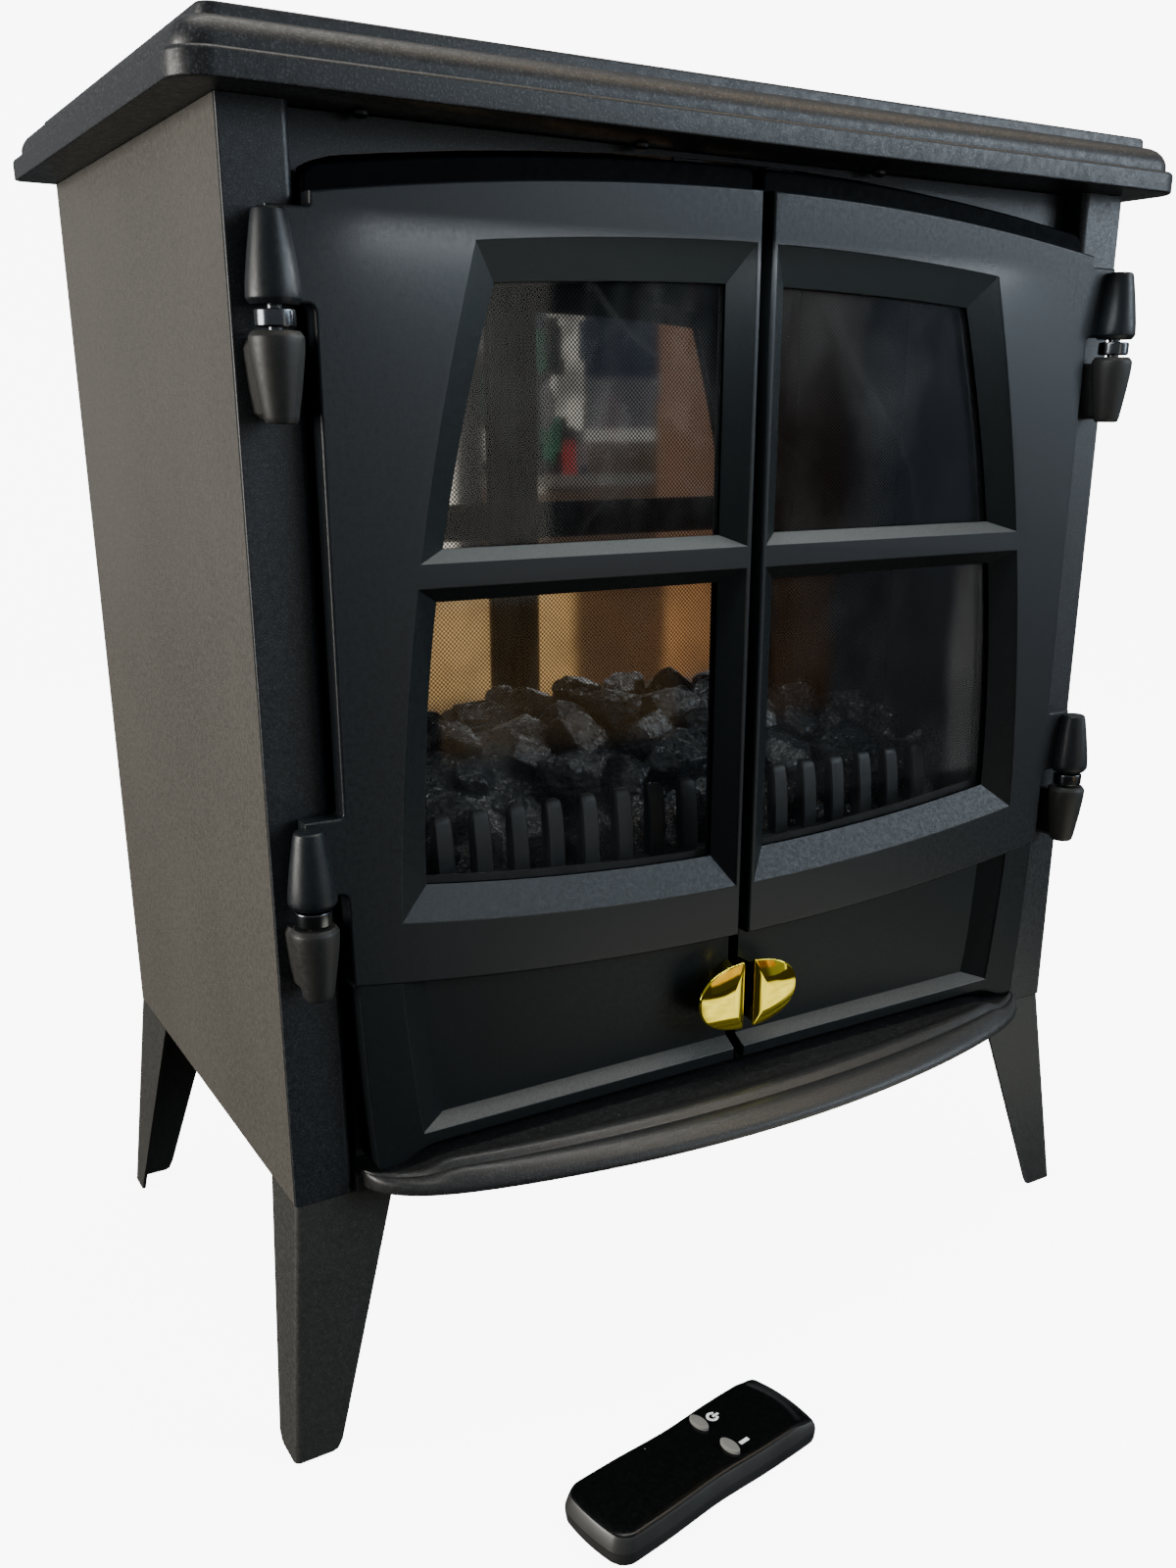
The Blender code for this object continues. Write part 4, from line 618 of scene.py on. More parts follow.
# ----------------------------------------------------------------------- legs
def leg(name, sx, sy, front):
    top_x, top_y = BODY_W, BODY_D + 0.0003
    bot_x, bot_y = BODY_W + 0.0132, BODY_D + (0.0138 if front else 0.0113)
    t, rb, zt = 0.0018, 0.0032, BODY_Z0 - 0.0003
    fx, fs = (0.0475, 0.0235), ((0.0335, 0.0215) if front else (0.0545, 0.0215))
    R = 0.0055

    def section(zf, d):
        """Plan of the bent sheet at a share of the height, d inside its outer face: list of (x, y, flange, share)."""
        cx, cy = bot_x + (top_x - bot_x) * zf, bot_y + (top_y - bot_y) * zf
        wa, wb = fx[1] + (fx[0] - fx[1]) * zf, fs[1] + (fs[0] - fs[1]) * zf
        pts = []
        for k in range(9):
            q = 1 - k / 8
            u = rb + (wa - rb) * q
            pts.append((cx - u, cy - d, 0, (wa - u)))
        for a in (18, 36, 54, 72):
            a = math.radians(a)
            rr = rb - d
            pts.append((cx - rb + rr * math.sin(a), cy - rb + rr * math.cos(a), 1, 1.0))
        for k in range(9):
            u = rb + (wb - rb) * k / 8
            pts.append((cx - d, cy - u, 2, (wb - u)))
        return pts

    def lift(dist):
        return 0.0 if dist >= R else R - math.sqrt(max(0.0, R * R - (R - dist) ** 2))

    outer, inner = [], []
    base = section(0.0, 0.0)
    for k in range(13):
        zf = (k / 12) ** 1.3
        so, si = section(zf, 0.0), section(zf, t)
        ro, ri = [], []
        for j, (po, pi_) in enumerate(zip(so, si)):
            z0 = lift(base[j][3]) if base[j][2] != 1 else 0.0
            z = z0 + (zt - z0) * zf
            ro.append((sx * po[0], sy * po[1], z))
            ri.append((sx * pi_[0], sy * pi_[1], z))
        outer.append(ro)
        inner.append(ri)
    s = Shape()
    rings = [o + list(reversed(i)) for o, i in zip(outer, inner)]
    s.loft(rings)
    n = len(outer[0])
    for row in (0, 12):
        o = len(s.v)
        s.v += outer[row] + inner[row]
        for j in range(n - 1):
            s.f.append((o + j, o + j + 1, o + n + j + 1, o + n + j))
    s.slab((min(sx * (top_x - 0.0015), sx * (top_x - 0.030)), min(sy * (top_y - 0.0015), sy * (top_y - 0.027)), zt - 0.0020),
           (max(sx * (top_x - 0.0015), sx * (top_x - 0.030)), max(sy * (top_y - 0.0015), sy * (top_y - 0.027)), zt - 0.0001))
    # two screws on the tab under the tray
    for qx, qy in ((0.012, 0.018), (0.023, 0.009)):
        s.lathe([(0.0, -0.0046), (0.0015, -0.0045), (0.0027, -0.0038), (0.0033, -0.0026), (0.0033, -0.0019), (0.0, -0.0019)], (sx * (top_x - qx), sy * (top_y - qy), zt), 20)
    s.build(name + "_look", COAT_LEG, "stove", "black_powder_coat", 35, [name])


leg("leg_front_left", -1, -1, True)
leg("leg_front_right", 1, -1, True)
leg("leg_rear_left", -1, 1, False)
leg("leg_rear_right", 1, 1, False)


# --------------------------------------------------------------- hearth shelf
def shelf_row(u):
    yb = POST_Y - 0.0004
    f = (1 - 0.609 * u * u) * math.sqrt(max(0.0, 1 - abs(u) ** 16))
    x = 0.2065 * u
    low = min(1.0, max(0.0, (abs(x) - 0.169) / 0.015))          # the bead flattens out under the door's feet
    low = low * low * (3 - 2 * low)
    mould = ((0.0030, 0.1290), (0.0010, 0.1293), (0.0002, 0.1300), (0.0, 0.1310), (0.0001, 0.1322), (0.0009, 0.1337), (0.0024, 0.1350), (0.0045, 0.1365), (0.0070, 0.1381), (0.0095, 0.1392),
             (0.0118, 0.1394), (0.0134, 0.1388), (0.0144, 0.1384), (0.0156, 0.1392), (0.0172, 0.1406), (0.0190, 0.1414), (0.0210, 0.1415), (0.0230, 0.1409), (0.0250, 0.1396),
             (0.0268, 0.1382), (0.0285, 0.1377), (0.0310, 0.1376))
    pts = []
    for d, z in mould:
        if z > 0.1345:
            z = z + low * (0.1345 + (z - 0.1345) * 0.36 - z)
        pts.append((x, yb - (yb - SHELF_Y - d * 1.18) * f, z))
    zf = 0.1376 + low * (0.1345 + 0.0031 * 0.36 - 0.1376)
    pts += [(x, yb - (yb - SHELF_Y - 0.045) * f, zf), (x, yb, zf), (x, yb, 0.1290)]
    return pts


s = Shape()
s.loft([shelf_row(-0.997 * math.cos(math.pi * k / 72)) for k in range(73)], True, True)
s.slab((-0.2085, -0.1405, 0.1256), (0.2085, -0.1232, 0.1336))
shelf_ob = s.build("hearth_shelf_look", SHELF, "stove", "black_powder_coat", 40, ["hearth_shelf"])
second_finish(shelf_ob, DUSTY, lambda c, n: n[2] > 0.985 and 0.134 < c[2] < 0.1378 and c[1] > SHELF_Y + 0.024)


# ---------------------------------------------------------------------- doors
def arch(x, rise=0.0):
    return ARCH_TOP + rise - ARCH_K * x * x


def step(x):
    return STEP_Z + STEP_K * x * x


def rim_outline():
    p = [(DOOR_GAP, DOOR_Z0), (0.090, DOOR_Z0), (0.168, DOOR_Z0)]
    p += [(0.1745, 0.14415), (0.180, 0.14275), (0.1855, 0.1402), (0.190, 0.1384), (0.1950, 0.1379), (0.1990, 0.1379), (0.2008, 0.1386), (0.2014, 0.1400)]
    p += [(0.2028, 0.1600), (0.2042, 0.1800), (0.2053, 0.2050), (0.2061, 0.2260), (DOOR_OUT - 0.0002, step(DOOR_OUT) + 0.0006), (DOOR_OUT - 0.0002, 0.30), (DOOR_OUT - 0.0002, 0.42)]
    rc = 0.0085
    zc = arch(DOOR_OUT - rc, RIM_RISE)
    p += corner((DOOR_OUT - 0.0002 - rc, zc - rc), rc, 0, 82, 8)
    p += [(x, arch(x, RIM_RISE)) for x in lin(0.196, 0.0072, 26)]
    zc = arch(0.0064, RIM_RISE)
    p += corner((DOOR_GAP + 0.0040, zc - 0.0040), 0.0040, 92, 180, 6)
    return p


def raised_outline():
    g = DOOR_GAP + 0.0005
    p = [(x, step(x)) for x in lin(g, DOOR_OUT - 0.0004, 22)]
    for drop in (HINGE_DROP, 0.0):
        z0 = UP_Z0 - drop + 0.0010
        z1 = UP_Z0 - drop + 0.0344
        p += corner((DOOR_OUT + 0.0030, z0 - 0.0030), 0.0030, 180, 90, 5)
        p += [(HINGE_X, z0), (HINGE_X, z1)]
        if drop:
            p += corner((DOOR_OUT + 0.0018, z1 + 0.0018), 0.0018, 270, 180, 5)
        else:
            p += corner((DOOR_OUT + 0.0012, z1 + 0.0012), 0.0012, 270, 180, 4)
    p += [(x, arch(x)) for x in lin(DOOR_OUT - 0.0002, g, 26)]
    return p


def poly3(z, pts):
    (z0, x0), (z1, x1), (z2, x2) = pts
    return (x0 * (z - z1) * (z - z2) / ((z0 - z1) * (z0 - z2)) + x1 * (z - z0) * (z - z2) / ((z1 - z0) * (z1 - z2))
            + x2 * (z - z0) * (z - z1) / ((z2 - z0) * (z2 - z1)))


W_OUT = ((0.5302, 0.1416), (0.4026, 0.1705), (0.2553, 0.1844))
W_IN = ((0.5160, 0.1300), (0.4018, 0.1580), (0.2680, 0.1690))
CB = (0.3908, 0.3975, 0.4077, 0.4124)


def light(upper, inner, n=18):
    """Opening above or below the crossbar: outer contour on the face or inner one on the pan."""
    if inner:
        xi, top, kt, bot, kb, side = 0.0160, 0.5207, 0.278, 0.2562, 0.413, W_IN
    else:
        xi, top, kt, bot, kb, side = 0.0056, 0.5370, 0.342, 0.2412, 0.415, W_OUT
    xt, xb = side[0][1], side[2][1]
    z_top, z_bot = top - kt * xt * xt, bot + kb * xb * xb
    sd = ((z_top, xt), side[1], (z_bot, xb))
    if upper:
        z0 = CB[3] if inner else CB[2]
        x0 = poly3(z0, sd)
        p = [(x, z0) for x in lin(xi, x0, n)]
        p += [(poly3(z, sd), z) for z in lin(z0, z_top, n)[1:-1]]
        p += [(x, top - kt * x * x) for x in lin(xt, xi, n)]
        p += [(xi, z) for z in lin(top - kt * xi * xi, z0, 6)[1:-1]]
    else:
        z1 = CB[0] if inner else CB[1]
        x1 = poly3(z1, sd)
        p = [(x, bot + kb * x * x) for x in lin(xi, xb, n)]
        p += [(poly3(z, sd), z) for z in lin(z_bot, z1, n)[1:-1]]
        p += [(x, z1) for x in lin(x1, xi, n)]
        p += [(xi, z) for z in lin(z1, bot + kb * xi * xi, 6)[1:-1]]
    return p


def door(sx, side):
    s = Shape()
    rim = rim_outline()
    holes = [light(True, True), light(False, True)]
    # pan: rolled rim, return flange, back
    r = 0.0016
    rings = eased(rim, PAN_FRONT, r, 6) + [ring_at(rim, SKIRT_BACK - 0.0004), ring_at(inset(rim, 0.0004), SKIRT_BACK), ring_at(inset(rim, 0.0018), SKIRT_BACK), ring_at(inset(rim, 0.0018), PAN_BACK)]
    s.loft(rings)
    s.fill([inset(rim, r)] + holes, PAN_FRONT)
    s.fill([inset(rim, 0.0018)] + holes, PAN_BACK)
    for h in holes:
        s.loft([ring_at(h, PAN_FRONT), ring_at(h, PAN_BACK)])
    if sx < 0:
        s = s.mirrored()
    # the pan's near-black finish is painted shade for the recessed rim
    ob = s.build("door_pan_look_" + side, RIM_PAINTED_SHADE, side + "_door", "satin_black_cast", 27, ["door_frame_" + side])
    # painted shade: the pan's rearward faces get the shaded copy of the cast
    second_finish(ob, CAST_PAINTED_SHADE, lambda c, n: n[1] > 0.5)
    # raised plate with its ears
    s = Shape()
    out = raised_outline()
    r = 0.0013
    s.loft(eased(out, DOOR_FRONT, r, 6, PAN_FRONT + 0.0003))
    fronts = [light(True, False), light(False, False)]
    s.fill([inset(out, r)] + [inset(h, -0.0005) for h in fronts], DOOR_FRONT)
    s.fill([out] + holes, PAN_FRONT + 0.0003)
    for o, i in zip(fronts, holes):
        s.loft([ring_at(inset(o, -0.0005), DOOR_FRONT), ring_at(inset(o, -0.00015), DOOR_FRONT + 0.00012), ring_at(o, DOOR_FRONT + 0.0005), ring_at(i, PAN_FRONT)])
    # lower block with its pocket and sloping ledge
    yf = DOOR_FRONT + 0.0006
    g = DOOR_GAP + 0.0006
    rows = []                                             # (front x, z, back x, z)
    for x, z in ((g, DOOR_Z0 + 0.0002), (0.090, DOOR_Z0 + 0.0002), (0.168, DOOR_Z0 + 0.0002), (0.1745, 0.14435), (0.180, 0.14295), (0.1855, 0.1404), (0.190, 0.1387), (0.1950, 0.1381),
                 (0.1986, 0.1381), (0.2003, 0.1388), (0.2010, 0.1402), (0.2024, 0.1600), (0.2038, 0.1800), (0.2049, 0.2050), (0.2056, 0.2240), (0.2057, step(0.2057) + 0.0008)):
        rows.append((x, z, x, z))
    rows.append((0.1850, step(0.1850) + 0.0008, 0.1712, step(0.1712) + 0.0008))
    for fz, fx_, bz, bx in ((0.2150, 0.1845, 0.2150, 0.1710), (0.1980, 0.1830, 0.2000, 0.1700), (0.1800, 0.1812, 0.1820, 0.1688), (0.1640, 0.1795, 0.1670, 0.1670), (0.1514, 0.1778, 0.1557, 0.1650)):
        rows.append((fx_, fz, bx, bz))
    for x in (0.120, 0.060, g):
        rows.append((x, 0.1514, x, 0.1557))
    frt = [(a, b) for a, b, c, d in rows]
    bck = [(c, d) for a, b, c, d in rows]
    r = 0.0009
    rings = eased(frt, yf, r, 5)
    rings.append(ring_at(bck, PAN_FRONT))
    s.loft(rings)
    s.fill([inset(frt, r)], yf)
    low_pan = [(g + 0.0001, 0.1540), (0.1660, 0.1540), (0.1700, 0.1820), (0.1722, 0.2150), (0.1722, step(0.1722) + 0.0040), (g + 0.0001, step(g) + 0.0040)]
    s.fill([low_pan], PAN_FRONT - 0.0001)
    # knuckles of the two hinges
    for drop in (0.0, HINGE_DROP):
        s.lathe(KNUCKLE, (HINGE_X, HINGE_Y, UP_Z0 - drop))
    if sx < 0:
        s = s.mirrored()
    ob = s.build("door_look_" + side, CAST, side + "_door", "satin_black_cast", 27, ["door_frame_" + side])
    # painted shade: the whole lower block gets the shaded copy of the cast
    second_finish(ob, CAST_PAINTED_SHADE, lambda c, n: c[2] < 0.2405 and abs(c[0]) < 0.2060 and c[1] > -0.1489)
    # painted shade on the pocket's side walls
    second_finish(ob, CAST_FLANK_PAINTED_SHADE, lambda c, n: 0.1520 < c[2] < 0.2240 and 0.1600 < abs(c[0]) < 0.1860 and -0.1484 < c[1] < -0.1404 and abs(n[0]) > 0.30)
    # painted shade on the side and top walls of the window reveals
    second_finish(ob, CAST_PAINTED_SHADE, lambda c, n: c[2] > 0.2405 and abs(c[0]) < 0.1860 and -0.1487 < c[1] < -0.1407 and n[2] < 0.40 and abs(n[1]) < 0.95)
    # painted light on the sloping ledge's top face
    second_finish(ob, LEDGE_PAINTED_LIGHT, lambda c, n: 0.1505 < c[2] < 0.1560 and -0.1484 < c[1] < -0.1404 and abs(c[0]) < 0.1760 and n[2] > 0.5)
    # painted light on the windows' bottom bevels
    second_finish(ob, BEVEL_PAINTED_LIGHT, lambda c, n: 0.2380 < c[2] < 0.2720 and -0.1492 < c[1] < -0.1404 and abs(c[0]) < 0.1850 and n[2] > 0.5)
    # painted light on the crossbar's top bevel
    second_finish(ob, LEDGE_PAINTED_LIGHT, lambda c, n: 0.4070 < c[2] < 0.4130 and -0.1492 < c[1] < -0.1404 and abs(c[0]) < 0.1750 and n[2] > 0.4)

    # half-oval handle: domed face, rolled edge, stem back to the door
    s = Shape()
    a_, b_, zc, x0 = 0.0306, 0.0184, 0.1834, 0.0031
    e, rc = 0.90, 0.0010
    sup = lambda t_: (a_ * max(0.0, math.cos(t_)) ** e, zc + math.copysign(b_ * abs(math.sin(t_)) ** e, math.sin(t_)))
    arc = [q for q in (sup(math.radians(t_)) for t_ in lin(89.0, -89.0, 61)) if q[0] > x0 + rc]
    outline = corner((x0 + rc, zc - b_ + rc), rc, 262, 182, 4) + [(x0, zc + h) for h in lin(-0.0145, 0.0145, 9)] + corner((x0 + rc, zc + b_ - rc), rc, 178, 98, 4) + arc
    cxm, czm = 0.0125, zc - 0.0008
    rows = []
    for q in (0.02, 0.14, 0.27, 0.40, 0.52, 0.63, 0.73, 0.82, 0.89, 0.945, 0.975, 0.99, 1.0, 1.0, 0.99, 0.95):
        rows.append(q)
    depth = [-0.1578 + 0.0023 * q ** 2.0 for q in rows[:11]] + [-0.15535, -0.15490, -0.15430, -0.15385, -0.15355]
    rows = [[(cxm + (u - cxm) * q, y, czm + (v - czm) * q) for u, v in outline] for q, y in zip(rows, depth)]
    # the back narrows to a stem at the straight side
    for q, sq, y in ((0.80, 0.90, -0.1524), (0.55, 0.86, -0.1500), (0.38, 0.84, -0.1470), (0.30, 0.82, -0.1408)):
        rows.append([(x0 + 0.0002 + (u - x0) * q, y, czm + (v - czm) * sq) for u, v in outline])
    s.loft(rows, True, True)
    if sx < 0:
        s = s.mirrored()
    s.build("door_handle_look_" + side, BRASS, side + "_door", "polished_brass", 50, ["door_handle_" + side])


door(-1, "left")
door(1, "right")

# ----------------------------------------------------------------- hinge pins
PIN = [(0.0, 0.0180), (0.0024, 0.0180), (0.0030, 0.0172), (0.0030, 0.0074), (0.0068, 0.0073), (0.0074, 0.0071), (0.0077, 0.0066), (0.0077, 0.0017), (0.0074, 0.0012), (0.0068, 0.0010),
       (0.0030, 0.0009), (0.0030, -0.0108), (0.0, -0.0108)]
for sx, side in ((-1, "left"), (1, "right")):
    for drop, lev in ((0.0, "top"), (HINGE_DROP, "bottom")):
        s = Shape()
        s.lathe(PIN, (sx * HINGE_X, HINGE_Y, POST_KN_TOP - drop + 0.0001), 44)
        nm = "hinge_pin_%s_%s" % (side, lev)
        s.build(nm + "_look", DARK_CHROME, body_of(frame["nodes"][nm])[0], "dark_chrome", 35, [nm])

# ------------------------------------------------------------- fret and coals
s = Shape()
s.slab((-0.1990, -0.1143, 0.2384), (0.1990, -0.1078, 0.2520), 0.0012)
for k in range(-8, 8):
    xc = (k + 0.5) * 0.0196
    rows = []
    for z, hw, y0, y1 in ((0.2400, 0.00475, -0.1145, -0.1080), (0.2520, 0.00475, -0.1145, -0.1080), (0.2600, 0.00475, -0.1143, -0.1078), (0.2680, 0.00475, -0.1138, -0.1075), (0.2750, 0.00475, -0.1130, -0.1070),
                          (0.2800, 0.00475, -0.1122, -0.1066), (0.2840, 0.00462, -0.1113, -0.1062), (0.2862, 0.00425, -0.1106, -0.1061), (0.2875, 0.0036, -0.1098, -0.1062), (0.2880, 0.0026, -0.1090, -0.1065)):
        e = min(0.0009, hw * 0.3)
        rows.append([(xc - hw + e, y0, z), (xc + hw - e, y0, z), (xc + hw, y0 + e, z), (xc + hw, y1, z), (xc - hw, y1, z), (xc - hw, y0 + e, z)])
    s.loft(rows, True, True)
s.build("fire_fret_look", FRET, "stove", "satin_black_cast", 38, ["fire_fret"])


def lump(shape, c, size, seed, squash=0.8):
    """Broken-rock lump: a ball cut by random flats and roughened."""
    rnd = random.Random(seed)
    bm = bmesh.new()
    bmesh.ops.create_icosphere(bm, subdivisions=4, radius=1.0)
    flats = []
    for _ in range(15):
        n = Vector((rnd.gauss(0, 1), rnd.gauss(0, 1), rnd.gauss(0, 1))).normalized()
        flats.append((n, rnd.uniform(0.50, 0.84)))
    off = Vector((seed * 3.7, seed * 1.3, seed * 2.1))
    rot = Matrix.Rotation(rnd.uniform(0, 6.28), 3, "Z") @ Matrix.Rotation(rnd.uniform(-0.5, 0.5), 3, "X")
    sc = Vector((size * rnd.uniform(0.9, 1.15), size * rnd.uniform(0.8, 1.0), size * squash * rnd.uniform(0.85, 1.1)))
    for v in bm.verts:
        p = v.co.copy()
        p *= 1 + 0.24 * mnoise.noise(p * 1.4 + off)
        for n, d in flats:
            e = p.dot(n) - d
            if e > 0:
                p -= n * e * 0.93
        p *= 1 + 0.075 * mnoise.noise(p * 3.6 + off) + 0.040 * mnoise.noise(p * 10.0 + off) + 0.020 * mnoise.noise(p * 24.0 + off)
        p = rot @ Vector((p.x * sc.x, p.y * sc.y, p.z * sc.z))
        v.co = p + Vector(c)
    bm.verts.ensure_lookup_table()
    lim = lambda q: (min(0.1985, max(-0.1985, q[0])), min(-0.0245, max(-0.1055, q[1])), max(0.2390, q[2]))
    shape.add([lim(v.co[:]) for v in bm.verts], [[v.index for v in f.verts] for f in bm.faces])
    bm.free()


def coal_ground(x, y):
    t = (y + 0.104) / 0.078
    return max(0.2440, 0.250 + 0.055 * math.sin(min(1.0, t) * math.pi * 0.5) - 5.4 * max(0.0, abs(x) - 0.10) ** 2 + 0.004 * mnoise.noise(Vector((x * 60, y * 60, 1.0))))


s = Shape()
seed = 1
rnd = random.Random(5)
for row, (y, n, size, lift, sag) in enumerate(((-0.0940, 12, 0.0165, 0.262, 0.008), (-0.0770, 11, 0.0185, 0.284, 0.016), (-0.0590, 11, 0.0185, 0.300, 0.027), (-0.0420, 12, 0.0180, 0.306, 0.029))):
    for k in range(n):
        x = -0.183 + 0.366 * (k + 0.5 * (row % 2) * 0.9) / (n - 0.55) + rnd.uniform(-0.005, 0.005)
        z = lift - sag * (abs(x) / 0.19) ** 2 + rnd.uniform(-0.005, 0.006)
        lump(s, (x, y + rnd.uniform(-0.004, 0.004), z), size * rnd.uniform(0.80, 1.28), seed, 0.80)
        seed += 1
nx, ny = 60, 14
grid = []
for j in range(ny):
    grid.append([(x, y, coal_ground(x, y)) for x, y in ((-0.1975 + 0.395 * i / (nx - 1), -0.1050 + 0.0805 * j / (ny - 1)) for i in range(nx))])
s.loft([[(x, y, 0.2388) for x, y, z in grid[0]]] + grid + [[(x, y, 0.2388) for x, y, z in grid[-1]]], closed=False)
s.build("coal_bed_look", COAL, "stove", "coal_resin", 24, ["coal_bed"])


# ------------------------------------------------------------- remote control
RL, RW, RH, RSPLIT = 0.0638, 0.0220, 0.0160, 0.0080


def remote_half(u):
    return RW - 0.0014 * math.exp(-((u + 0.002) / 0.022) ** 2) - 0.0004 * max(0.0, u / RL) ** 2


def remote_outline(ins=0.0, ends=1.0):
    L = RL - ins * ends
    r, rf = 0.0078 - ins * 0.6, 0.0034 - ins * 0.45
    bow = 0.0024
    p = []
    we = remote_half(L) - ins
    wn = remote_half(-L) - ins
    cap = lambda v, w: bow * (1 - (v / w) ** 2)
    far = []
    for k in range(7):
        a = math.radians(90 * k / 6)
        v = we - rf + rf * math.sin(a)
        far.append((L - bow - rf + rf * math.cos(a) + cap(v, we) * math.cos(a), v))
    mid_far = [(L - bow + cap(v, we), v) for v in lin(0.0, we - rf, 6)[:-1]]
    p += mid_far + far
    p += [(u, remote_half(u) - ins) for u in lin(L - bow - rf, -L + bow + r, 26)[1:-1]]
    for k in range(7):
        a = math.radians(90 + 90 * k / 6)
        v = wn - r + r * math.sin(a)
        p.append((-L + bow + r + r * math.cos(a) + cap(v, wn) * math.cos(a), v))
    p += [(-L + bow - cap(v, wn), v) for v in lin(wn - r, 0.0, 6)[1:]]
    q = [(u, -v) for u, v in reversed(p[1:-1])]
    return p + q


def rloc(p):
    """Remote's own frame to the stove's frame."""
    c, s_ = math.cos(REMOTE_TURN), math.sin(REMOTE_TURN)
    return (REMOTE_AT[0] + p[0] * c - p[1] * s_, REMOTE_AT[1] + p[0] * s_ + p[1] * c, p[2])


def droop(p):
    """The far end of the lid slopes away behind a curved crease."""
    u, v, z = p
    if z <= 0.0110:
        return p
    crease = 0.0533 - 12.0 * v * v
    k = max(0.0, min(1.0, (u - crease) / 0.010))
    k = k * (2 - k) if k < 1 else 1.0
    return (u, v, z - 0.0020 * k * (z - 0.0110) / (RH - 0.0110))


s = Shape()
s.loft([[(u, v, z) for u, v in remote_outline(i)] for i, z in ((0.0036, 0.0), (0.0026, 0.0003), (0.0014, 0.0011), (0.0006, 0.0026), (0.0002, 0.0050), (0.0, RSPLIT - 0.0002), (0.0004, RSPLIT - 0.0001), (0.0012, RSPLIT - 0.0001),
                                                                (0.0030, RSPLIT - 0.0001), (0.0030, 0.0034))], True, True)
s = s.moved(rloc)
base = s.build("remote_base_look", REMOTE_LOW, "remote", "black_plastic", 32, ["remote_base"])
# open channel of the sliding battery cover in the underside
s = Shape()
s.slab((-0.0720, -0.0167, -0.0020), (-0.0079, 0.0167, 0.0019))
s = s.moved(rloc)
me = bpy.data.meshes.new("channel")
me.from_pydata([(x, y + DY, z) for x, y, z in s.v], [], s.f)
channel = bpy.data.objects.new("channel", me)
bpy.context.scene.collection.objects.link(channel)
md = base.modifiers.new("channel", "BOOLEAN")
md.object = channel
md.operation = "DIFFERENCE"
md.solver = "EXACT"
dg = bpy.context.evaluated_depsgraph_get()
dg.update()
base.modifiers["even_normals"].show_viewport = False
dg.update()
cut_mesh = bpy.data.meshes.new_from_object(base.evaluated_get(dg), preserve_all_data_layers=False, depsgraph=dg)
base.modifiers.remove(md)
base.modifiers["even_normals"].show_viewport = True
base.data = cut_mesh
if not cut_mesh.materials:
    cut_mesh.materials.append(REMOTE_LOW)
cut_mesh.set_sharp_from_angle(angle=math.radians(32))
bpy.data.objects.remove(channel, do_unlink=True)

rings = [(0.0030, RSPLIT + 0.0003), (0.0012, RSPLIT + 0.0003), (0.0004, RSPLIT + 0.0002), (0.0, RSPLIT + 0.0003), (0.0003, 0.0100), (0.0008, 0.0122), (0.0013, 0.0140), (0.0016, 0.0149), (0.0020, 0.0154), (0.0026, 0.01575), (0.0034, 0.0159), (0.0044, 0.01597)]
s = Shape()
s.loft([[(u, v, z) for u, v in remote_outline(i, 1.5)] for i, z in [(0.0030, 0.0135)] + rings], True, False)
rim_ring = remote_outline(0.0044, 1.5)
lid_rows = [[(u * q, v * q, 0.01597 + 0.00003 * min(1.0, (1 - q) * 20)) for u, v in rim_ring] for q in [1.0, 0.97, 0.94, 0.91, 0.88, 0.85, 0.82, 0.78, 0.70, 0.55, 0.35, 0.12]]
s.loft(lid_rows, False, True)
s = s.moved(droop).moved(rloc)
lid = s.build("remote_lid_look", REMOTE_TOP, "remote", "black_plastic", 30, ["remote_lid"])
second_finish(lid, REMOTE_LOW, lambda c, n: 0.0070 < c[2] < 0.0150 and abs(n[2]) < 0.60)


def lens(cu, cv, a, b, n=15):
    """Pointed oval: b is its half length across the remote, a its half width."""
    right_ = [(cu + a * math.cos(t) ** 1.15, cv + b * math.sin(t)) for t in lin(-math.pi / 2, math.pi / 2, n)[1:-1]]
    left_ = [(cu - a * math.cos(t) ** 1.15, cv + b * math.sin(t)) for t in lin(math.pi / 2, -math.pi / 2, n)[1:-1]]
    return [(cu, cv - b)] + right_ + [(cu, cv + b)] + left_


BUTTONS = ((0.0140, 0.0110), (0.0140, -0.0094))
for nm, body, (bu, bv) in (("remote_button_power", "remote_power_key", BUTTONS[0]), ("remote_button_heat", "remote_heat_key", BUTTONS[1])):
    s = Shape()
    s.loft([[(u, v, z) for u, v in lens(bu, bv, a, b)] for a, b, z in ((0.0029, 0.0059, 0.0132), (0.0029, 0.0059, 0.0173), (0.0027, 0.0056, 0.0177), (0.0021, 0.0048, 0.01795))], True, True)
    s = s.moved(rloc)
    s.build(nm + "_look", GREY_BUTTON, body, "grey_button", 40, [nm])

# printed marks: a power symbol and a plain stroke
s = Shape()
cu, cv, zt, zb = 0.0222, 0.0105, 0.01612, 0.0158
r0, r1 = 0.0017, 0.0030
gap = math.radians(34)
fwd = math.radians(0)
outer = [(cu + r1 * math.cos(fwd + a), cv + r1 * math.sin(fwd + a)) for a in lin(gap, math.tau - gap, 30)]
inner = [(cu + r0 * math.cos(fwd + a), cv + r0 * math.sin(fwd + a)) for a in lin(math.tau - gap, gap, 30)]
ring2 = outer + inner
s.fill([ring2], zt, "XY")
s.loft([[(u, v, z) for u, v in ring2] for z in (zb, zt)])
bar_ = [(cu + 0.0002, cv - 0.0006), (cu + 0.0038, cv - 0.0006), (cu + 0.0038, cv + 0.0006), (cu + 0.0002, cv + 0.0006)]
s.loft([[(u, v, z) for u, v in bar_] for z in (zb, zt)], False, True)
